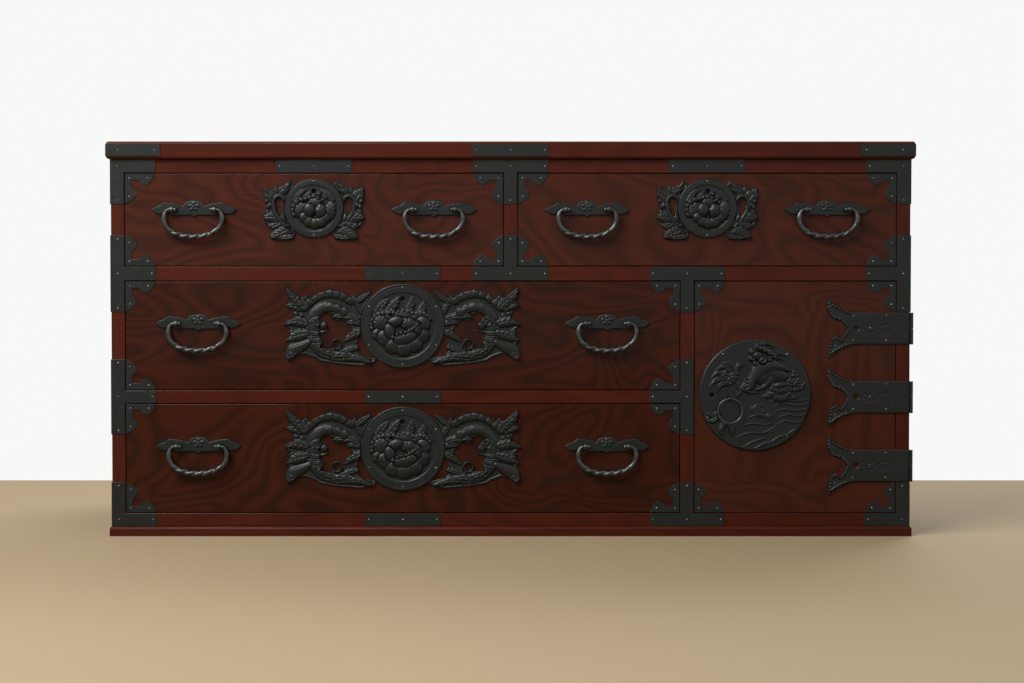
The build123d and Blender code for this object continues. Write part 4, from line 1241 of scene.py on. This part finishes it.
# ============================================================ operators
class TANSU_OT_stage(bpy.types.Operator):
    """Lay the floor, hang the lamps and place the camera"""

    bl_idname = "tansu.stage"
    bl_label = "Stage"

    def execute(self, context):
        stage = context.scene.tansu_stage
        back_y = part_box("back_panel")[1][1]
        wall_y = back_y + stage.wall_gap
        breadth, height = (-6, 6), (0, 5)
        self.plain("floor", stage.floor_color, (breadth, breadth, (0, 0)))
        self.plain("wall", stage.wall_color, (breadth, (wall_y, wall_y), height))
        self.show_from_front("wall", stage.wall_color)
        aim = np.array((-0.1, face_y, 0.3))
        self.lamp("key_lamp", (-1.35, face_y - 1.4, 1.95), aim, (2.0, 1.1), stage.key_power)
        self.lamp("fill_lamp", (2.6, face_y - 2.4, 1.3), aim, (2.2, 2.2), stage.fill_power)
        behind = (0.9, back_y + 1.7, 2.2)
        self.lamp("back_lamp", behind, np.array((0, back_y, 0.3)), (2.5, 1.5), stage.back_power)
        world = bpy.data.worlds.new("room")
        world.use_nodes = True
        tree = world.node_tree
        color = mixed(tree, self.seen(tree), (stage.sky_strength,) * 3, stage.wall_color)
        tree.links.new(color, tree.nodes["Background"].inputs["Color"])
        context.scene.world = world
        camera = bpy.data.objects.new("camera", bpy.data.cameras.new("camera"))
        camera.data.sensor_width = 36.0
        camera.data.lens = stage.lens
        aside = 2 * MM
        camera.location = (aside, face_y - stage.camera_distance, stage.camera_height)
        camera.rotation_euler = (math.pi / 2 - stage.camera_pitch, 0, 0)
        context.scene.collection.objects.link(camera)
        context.scene.camera = camera
        context.scene.view_settings.view_transform = "Standard"
        return {"FINISHED"}

    @staticmethod
    def plain(name, color, span):
        """A plain matt rectangle between two limits on each axis."""
        shader = new_finish(name)[1]
        shader.inputs["Base Color"].default_value = (*color, 1)
        shader.inputs["Roughness"].default_value = 0.8
        (x0, x1), (y0, y1), (z0, z1) = span
        mesh = bpy.data.meshes.new(name)
        corners = [(x0, y0, z0), (x1, y0, z0), (x1, y1, z1), (x0, y1, z1)]
        mesh.from_pydata(corners, [], [(0, 1, 2, 3)])
        mesh.materials.append(bpy.data.materials[name])
        piece = bpy.data.objects.new(name, mesh)
        bpy.context.scene.collection.objects.link(piece)

    @staticmethod
    def seen(tree):
        """1 on the rays that show a surface, straight, in a reflection or through glass."""
        path = tree.nodes.new("ShaderNodeLightPath").outputs
        seen = math_node(tree, "MAXIMUM", path["Is Glossy Ray"], path["Is Transmission Ray"])
        return math_node(tree, "MAXIMUM", path["Is Camera Ray"], seen)

    @classmethod
    def show_from_front(cls, name, color):
        """Show a surface in its own colour from its front, and let all other rays through."""
        tree = bpy.data.materials[name].node_tree
        behind = tree.nodes.new("ShaderNodeNewGeometry").outputs["Backfacing"]
        share = math_node(tree, "SUBTRACT", cls.seen(tree), behind)
        glow = tree.nodes.new("ShaderNodeEmission")
        glow.inputs["Color"].default_value = (*color, 1)
        clear = tree.nodes.new("ShaderNodeBsdfTransparent")
        choice = tree.nodes.new("ShaderNodeMixShader")
        tree.links.new(share, choice.inputs[0])
        tree.links.new(clear.outputs[0], choice.inputs[1])
        tree.links.new(glow.outputs[0], choice.inputs[2])
        tree.links.new(choice.outputs[0], tree.nodes["Material Output"].inputs["Surface"])

    @staticmethod
    def lamp(name, place, aim, size, power):
        """A rectangular soft lamp that faces a point."""
        lamp = bpy.data.objects.new(name, bpy.data.lights.new(name, "AREA"))
        lamp.data.shape = "RECTANGLE"
        lamp.data.size, lamp.data.size_y = size
        lamp.data.energy = power
        lamp.location = place
        lamp.visible_camera = False
        x, y, z = aim - np.array(place)
        tilt, turn = math.acos(-z / math.hypot(x, y, z)), math.atan2(y, x) - math.pi / 2
        lamp.rotation_euler = (tilt, 0, turn)
        bpy.context.scene.collection.objects.link(lamp)


class TANSU_OT_woodwork(bpy.types.Operator):
    """Lacquer the frame, the drawer fronts and the door, and leave the inside bare"""

    bl_idname = "tansu.woodwork"
    bl_label = "Woodwork"

    def execute(self, context):
        wood = context.scene.tansu_wood
        frame_wood = (wood.frame_light, wood.frame_dark)
        front_wood = (wood.front_light, wood.front_dark)
        long_shaded_wood = (wood.long_shaded_light, wood.long_shaded_dark)
        bare_wood = (wood.bare_light, wood.bare_dark)
        wood_finish("frame_wood_level", *frame_wood, "X", 13, 9.0, 1.4, True)
        wood_finish("frame_wood_upright", *frame_wood, "Z", 13, 9.0, 1.4, True)
        wood_finish("front_wood_level", *front_wood, "X", 15, 6.6, 3.6, True)
        # Painted shade: the lower, long drawers get a darker copy of the front lacquer.
        wood_finish("long_wood_level", *long_shaded_wood, "X", 15, 6.6, 3.6, True)
        wood_finish("front_wood_upright", *front_wood, "Z", 15, 6.6, 2.6, True)
        wood_finish("bare_wood_level", *bare_wood, "X", 14, 12.0, 0.5, False)
        wood_finish("bare_wood_deep", *bare_wood, "Y", 14, 12.0, 0.5, False)
        finishes = {
            "frame_wood_level": ("top_board", "base_moulding", "bottom_rail", "lower_rail",
                                 "middle_rail", "top_rail"),
            "frame_wood_upright": ("side_panel_left", "side_panel_right", "center_divider",
                                   "lower_divider"),
            "front_wood_level": ("door_end_boards", *(f"{name}_front" for name in SHORT_DRAWERS)),
            "long_wood_level": tuple(f"{name}_front" for name in LONG_DRAWERS),
            "front_wood_upright": ("door_panel",),
            "bare_wood_level": ("back_panel", "bottom_board", "dust_panels", "cabinet_shelf",
                                *(f"{name}_bottom" for name in DRAWERS)),
            "bare_wood_deep": ("shelf_cleats", *(f"{name}_box" for name in DRAWERS)),
        }
        for finish, members in finishes.items():
            for member in members:
                paint(member, finish)
                # The door's boards meet edge to edge, so less of their edges is taken off.
                share = 0.3 if member.startswith("door") else 1
                # A rounded bevel would swell past the moulding's mitred corners.
                segments = 1 if member == "base_moulding" else 2
                soften(member, wood.edge_radius * share, segments)
        return {"FINISHED"}


class TANSU_OT_blacken_iron(bpy.types.Operator):
    """Blacken every iron node and round the edges of the plates"""

    bl_idname = "tansu.blacken_iron"
    bl_label = "Blacken the iron"

    def execute(self, context):
        iron = context.scene.tansu_iron
        iron_finish("flat_iron", iron, iron.iron_color, 0.14 * MM, 0.36)
        iron_finish("raised_iron", iron, iron.iron_color, 0.07 * MM, 0.31)
        iron_finish("worn_iron", iron, iron.worn_color, 0.05 * MM, 0.27)
        iron_finish("nail_iron", iron, iron.nail_color, 0.04 * MM, 0.30)
        plates = [
            "top_edge_irons", "frame_corner_irons", "frame_side_irons", "frame_tee_irons",
            "rail_straps", "door_corner_irons", "door_hinge_straps", "hinge_side_leaves",
            "door_lock_plate",
        ]
        plates += [f"{name}_corner_irons" for name in DRAWERS]
        plates += [f"{name}_lock" for name in DRAWERS]
        plates += [f"{name}_handle_plates" for name in DRAWERS]
        for plate in plates:
            paint(plate, "flat_iron")
            soften(plate, iron.plate_edge)
        for name in ("hinge_pins", "door_ring"):
            paint(name, "worn_iron")
        for name in DRAWERS:
            for side in ("left", "right"):
                paint(f"{name}_{side}_bail", "worn_iron")
        return {"FINISHED"}


class TANSU_OT_nails(bpy.types.Operator):
    """Drive the nails of the frame irons, the rail straps, the corner irons and the locks"""

    bl_idname = "tansu.nails"
    bl_label = "Nails"

    def execute(self, context):
        iron = context.scene.tansu_iron
        self.frame_nails(iron)
        for name in DRAWERS:
            low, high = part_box(f"{name}_front")
            self.corner_nails(f"{name}_corner_nails", low, high, name, iron)
            self.lock_nails(name, iron)
        low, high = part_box("door_end_boards")
        self.corner_nails("door_corner_nails", low, high, "door", iron)
        return {"FINISHED"}

    @staticmethod
    def corner_nails(name, low, high, body, iron):
        """Three nails in each cusped corner iron, in from the corner and along its two arms."""
        near, far = 6.4 * MM, 33.6 * MM
        spots = [
            (edge_x + turn_x * x, edge_z + turn_z * z)
            for edge_x, turn_x in ((low[0], 1), (high[0], -1))
            for edge_z, turn_z in ((low[2], 1), (high[2], -1))
            for x, z in ((near, near), (far, near), (near, far))
        ]
        add_nails(name, spots, face_y - PLATE, body, iron)

    @staticmethod
    def lock_nails(name, iron):
        """Nails round the rim of the disc and out on the wings, the same on both sides.

        The wings' nails are in millimetres from the disc's centre.
        """
        center, radius = disc_of(f"{name}_lock", face_y - DISC)
        if name in SHORT_DRAWERS:
            turns, rim = (90, 270), 0.915 * radius
            wing = ((58, 27), (62, -38), (35, -43))
        else:
            turns, rim = (30, 90, 150, 210, 270, 330), 0.91 * radius
            wing = ((164.6, 2.2), (167, -43.6), (111.6, -49), (96.8, -52), (95, 42.6), (165, 47))
        add_nails(
            f"{name}_rim_nails", round_spots(center, rim, turns), face_y - DISC - RIM_RISE,
            name, iron,
        )
        spots = [
            (center[0] + side * x * MM, center[1] + z * MM) for x, z in wing for side in (-1, 1)
        ]
        above_wing = 0.8 * MM
        add_nails(f"{name}_wing_nails", spots, face_y - WING - above_wing, name, iron)

    @staticmethod
    def frame_nails(iron):
        """The nails of the frame irons, the rail straps, the sides and the top edge.

        Each frame iron has a nail near the end of each arm and one where the arms meet.
        """
        inner_x, side_x = (corner[0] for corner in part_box("side_panel_right"))
        post_x = (side_x + inner_x) / 2
        divider = [corner[0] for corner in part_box("lower_divider")]
        upright_x = (divider[0] + divider[1]) / 2
        half = (divider[1] - divider[0]) / 2
        end_gap = 5.5 * MM
        reach = IRON_REACH - end_gap
        arm = half + reach
        edges = {name: [corner[2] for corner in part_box(name)] for name in RAILS}
        middle = {name: (low + high) / 2 for name, (low, high) in edges.items()}
        below = {name: low - reach for name, (low, high) in edges.items()}
        above = {name: high + reach for name, (low, high) in edges.items()}

        def across(x, z):
            """Three nails in a level iron: the middle and near both ends."""
            return [(x - arm, z), (x, z), (x + arm, z)]

        stems = {
            "top_rail": [below["top_rail"]],
            "middle_rail": [below["middle_rail"], above["middle_rail"]],
            "bottom_rail": [above["bottom_rail"]],
            "lower_rail": [below["lower_rail"], above["lower_rail"]],
        }
        spots = []
        side_levels = {-1: [], 1: []}
        for side in side_levels:
            for name, ends in stems.items():
                # The lower rail ends at the upright, so it has no iron on the right.
                if side > 0 and name == "lower_rail":
                    continue
                spots += [(side * post_x, middle[name]), (side * (inner_x - reach), middle[name])]
                spots += [(side * post_x, end) for end in ends]
                side_levels[side] += [*ends, middle[name]]
        tees = (
            (0.0, "top_rail", below),
            (0.0, "middle_rail", above),
            (upright_x, "bottom_rail", above),
            (upright_x, "middle_rail", below),
        )
        for x, name, stem in tees:
            spots += [*across(x, middle[name]), (x, stem[name])]
        spots += across(upright_x, middle["lower_rail"])[:2]
        spots += [(upright_x, ends["lower_rail"]) for ends in (below, above)]
        short_x = (inner_x + half) / 2
        long_x = (upright_x - half - inner_x) / 2
        straps = [(-short_x, "top_rail"), (short_x, "top_rail")]
        straps += [(long_x, name) for name in ("middle_rail", "lower_rail", "bottom_rail")]
        for x, name in straps:
            spots += across(x, middle[name])
        add_nails("frame_nails", spots, face_y - PLATE, "carcass", iron)
        nail_y = face_y + 33 * MM
        for side, name in ((-1, "left_side_nails"), (1, "right_side_nails")):
            spots = [(side * (side_x + PLATE), nail_y, z) for z in side_levels[side]]
            add_nails(name, spots, None, "carcass", iron, (side, 0, 0))
        low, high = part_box("top_edge_irons")
        z = (low[2] + high[2]) / 2
        ends = (high[0] - 72.6 * MM, high[0] - 19 * MM)
        spots = across(0, z) + [(side * x, z) for side in (-1, 1) for x in ends]
        add_nails("top_edge_nails", spots, low[1], "carcass", iron)


class TANSU_OT_short_locks(bpy.types.Operator):
    """Raise the peony and the scroll wings of the two short drawers' lock plates"""

    bl_idname = "tansu.short_locks"
    bl_label = "Short lock plates"

    def execute(self, context):
        step = context.scene.tansu_iron.sheet_step
        for name in SHORT_DRAWERS:
            raise_lock(name, 0.775, small_peony, short_scroll, step)
        return {"FINISHED"}


class TANSU_OT_long_locks(bpy.types.Operator):
    """Raise the peony and the scroll wings of the two long drawers' lock plates"""

    bl_idname = "tansu.long_locks"
    bl_label = "Long lock plates"

    def execute(self, context):
        step = context.scene.tansu_iron.sheet_step
        for name in LONG_DRAWERS:
            raise_lock(name, 0.78, great_peony, long_scroll, step)
        return {"FINISHED"}


class TANSU_OT_handle_plates(bpy.types.Operator):
    """Pillow the handles' back plates, with a flower in each crown, and round their eyes"""

    bl_idname = "tansu.handle_plates"
    bl_label = "Handle plates"

    def execute(self, context):
        for name in DRAWERS:
            pivots = [joint_at[f"{name}_{side}_bail_swing"] for side in ("left", "right")]

            def crown(x, z, depth):
                """A plate with a rounded edge, nicked round its crown, and a blossom there."""
                rise = 1.2 * MM * dome(depth / (1.3 * MM))
                for pivot in pivots:
                    u, v = (x - pivot[0]) / MM, (z - pivot[2]) / MM
                    turn = np.arctan2(v - 1.5, u)
                    near = (v > 4) & (np.abs(u) < 15)
                    rise = np.where(near, nicked(rise, depth, 11 * turn, 3.1), rise)
                    rise = np.maximum(rise, small_blossom(u / 9, (v - 4.5) / 7.5) * MM)
                return rise

            plates = f"{name}_handle_plates"
            level, grid_step = face_y - WING, 0.5 * MM
            raise_relief(f"{name}_handle_crowns", plates, level, grid_step, crown, name)
            eyes = [
                eye_surface((pivot[0] + side * POST_SPACING / 2, pivot[1], pivot[2]))
                for pivot in pivots
                for side in (-1, 1)
            ]
            points, quads = join(eyes)
            add_piece(f"{name}_handle_eyes", points, quads, name, "worn_iron")
        return {"FINISHED"}


class TANSU_OT_bails(bpy.types.Operator):
    """Forge the eight bails, with rope-twisted grips and balls on their hooked ends"""

    bl_idname = "tansu.bails"
    bl_label = "Bails"

    def execute(self, context):
        handle = context.scene.tansu_handle
        for name in DRAWERS:
            for side in ("left", "right"):
                body = f"{name}_{side}_bail"
                points, quads = bail_surface(joint_at[f"{body}_swing"], handle)
                piece = add_piece(f"{body}_forged", points, quads, body, "worn_iron")
                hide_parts(body)
        return {"FINISHED"}


class TANSU_OT_door_ring(bpy.types.Operator):
    """Bend the door's pull ring"""

    bl_idname = "tansu.door_ring"
    bl_label = "Door ring"

    def execute(self, context):
        pivot, radius, bar = door_ring_shape()
        points, quads = ring_surface((pivot[0], pivot[1], pivot[2] - radius), radius, bar)
        piece = add_piece("door_ring_forged", points, quads, "door_ring", "worn_iron")
        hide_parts("door_ring")
        return {"FINISHED"}


class TANSU_OT_door_disc(bpy.types.Operator):
    """Raise the garden scene on the door's round plate: a lion, peonies, rocks and water"""

    bl_idname = "tansu.door_disc"
    bl_label = "Door disc"

    def execute(self, context):
        level = face_y - DISC
        center, radius = disc_of("door_lock_plate", level)
        grid_step, ground, nail_inset = 0.55 * MM, 0.25 * MM, 4.5 * MM

        def garden(x, z, depth):
            """The scene on its ground, which rises beside the rim, kept clear of the ring."""
            u, v = (x - center[0]) / MM, (z - center[1]) / MM
            lip = ground * np.clip(depth / (1.2 * MM), 0, 1)
            rise = lip + garden_relief(u, v) * MM * np.clip(depth / (3 * MM), 0, 1)
            return np.minimum(rise, room_under_ring(x, z, level))

        raise_relief("door_disc_garden", "door_lock_plate", level, grid_step, garden, "door")
        spots = round_spots(center, radius - nail_inset, (52, 128, 205, 308))
        add_nails("door_disc_nails", spots, level - ground, "door", context.scene.tansu_iron)
        return {"FINISHED"}


class TANSU_OT_hinge_straps(bpy.types.Operator):
    """Bevel and engrave the three forked straps and nail them down"""

    bl_idname = "tansu.hinge_straps"
    bl_label = "Hinge straps"

    def execute(self, context):
        level, grid_step, above_strap = face_y - WING, 0.7 * MM, 0.4 * MM
        corner_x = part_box("side_panel_right")[1][0]
        centers = strap_levels()

        def engraved(x, z, depth):
            """A bevelled edge, beaded on the horns, with a vine cut in along the middle."""
            rise = 0.9 * MM * dome(depth / (1.5 * MM))
            u = (x - corner_x) / MM
            v = min_gap(z, centers) / MM
            bead = np.abs(np.sin(np.pi * (0.5 * u - np.abs(v)) / 5.2)) ** 0.7
            on_horns = np.clip((-86 - u) / 8, 0, 1)
            edge = 2.0 * MM * bead * line_glow(depth / MM - 1.9, 1.3) * on_horns
            return rise + edge - 0.6 * MM * vine(u, v) * np.clip(depth / (3 * MM) - 1, 0, 1)

        straps = "door_hinge_straps"
        raise_relief("door_strap_engraving", straps, level, grid_step, engraved, "door")
        spots = [(corner_x + u * MM, z + v * MM) for z in centers for u, v in STRAP_NAILS]
        iron = context.scene.tansu_iron
        add_nails("door_strap_nails", spots, level - above_strap, "door", iron)
        return {"FINISHED"}


class TANSU_PT_panel(bpy.types.Panel):
    """Lists the steps that dress the chest"""

    bl_label = "Isho tansu"
    bl_idname = "TANSU_PT_panel"
    bl_space_type = "VIEW_3D"
    bl_region_type = "UI"
    bl_category = "Tansu"

    def draw(self, context):
        for group in SETTINGS:
            settings = getattr(context.scene, group)
            for name in type(settings).__annotations__:
                self.layout.prop(settings, name)
        for step in STEPS:
            self.layout.operator(step.bl_idname)


STEPS = (
    TANSU_OT_stage,
    TANSU_OT_woodwork,
    TANSU_OT_blacken_iron,
    TANSU_OT_nails,
    TANSU_OT_short_locks,
    TANSU_OT_long_locks,
    TANSU_OT_handle_plates,
    TANSU_OT_bails,
    TANSU_OT_door_disc,
    TANSU_OT_door_ring,
    TANSU_OT_hinge_straps,
)
SETTINGS = {
    "tansu_stage": TansuStageSettings,
    "tansu_wood": TansuWoodSettings,
    "tansu_iron": TansuIronSettings,
    "tansu_handle": TansuHandleSettings,
}


def register():
    """Make the settings, the operators and the panel known to Blender."""
    for name, settings in SETTINGS.items():
        bpy.utils.register_class(settings)
        setattr(bpy.types.Scene, name, PointerProperty(type=settings))
    for step in STEPS:
        bpy.utils.register_class(step)
    bpy.utils.register_class(TANSU_PT_panel)


def unregister():
    """Take the settings, the operators and the panel away again."""
    bpy.utils.unregister_class(TANSU_PT_panel)
    for step in reversed(STEPS):
        bpy.utils.unregister_class(step)
    for name, settings in SETTINGS.items():
        delattr(bpy.types.Scene, name)
        bpy.utils.unregister_class(settings)


def main():
    """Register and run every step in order."""
    register()
    for step in STEPS:
        group, name = step.bl_idname.split(".")
        getattr(getattr(bpy.ops, group), name)()


if __name__ == "__main__":
    main()
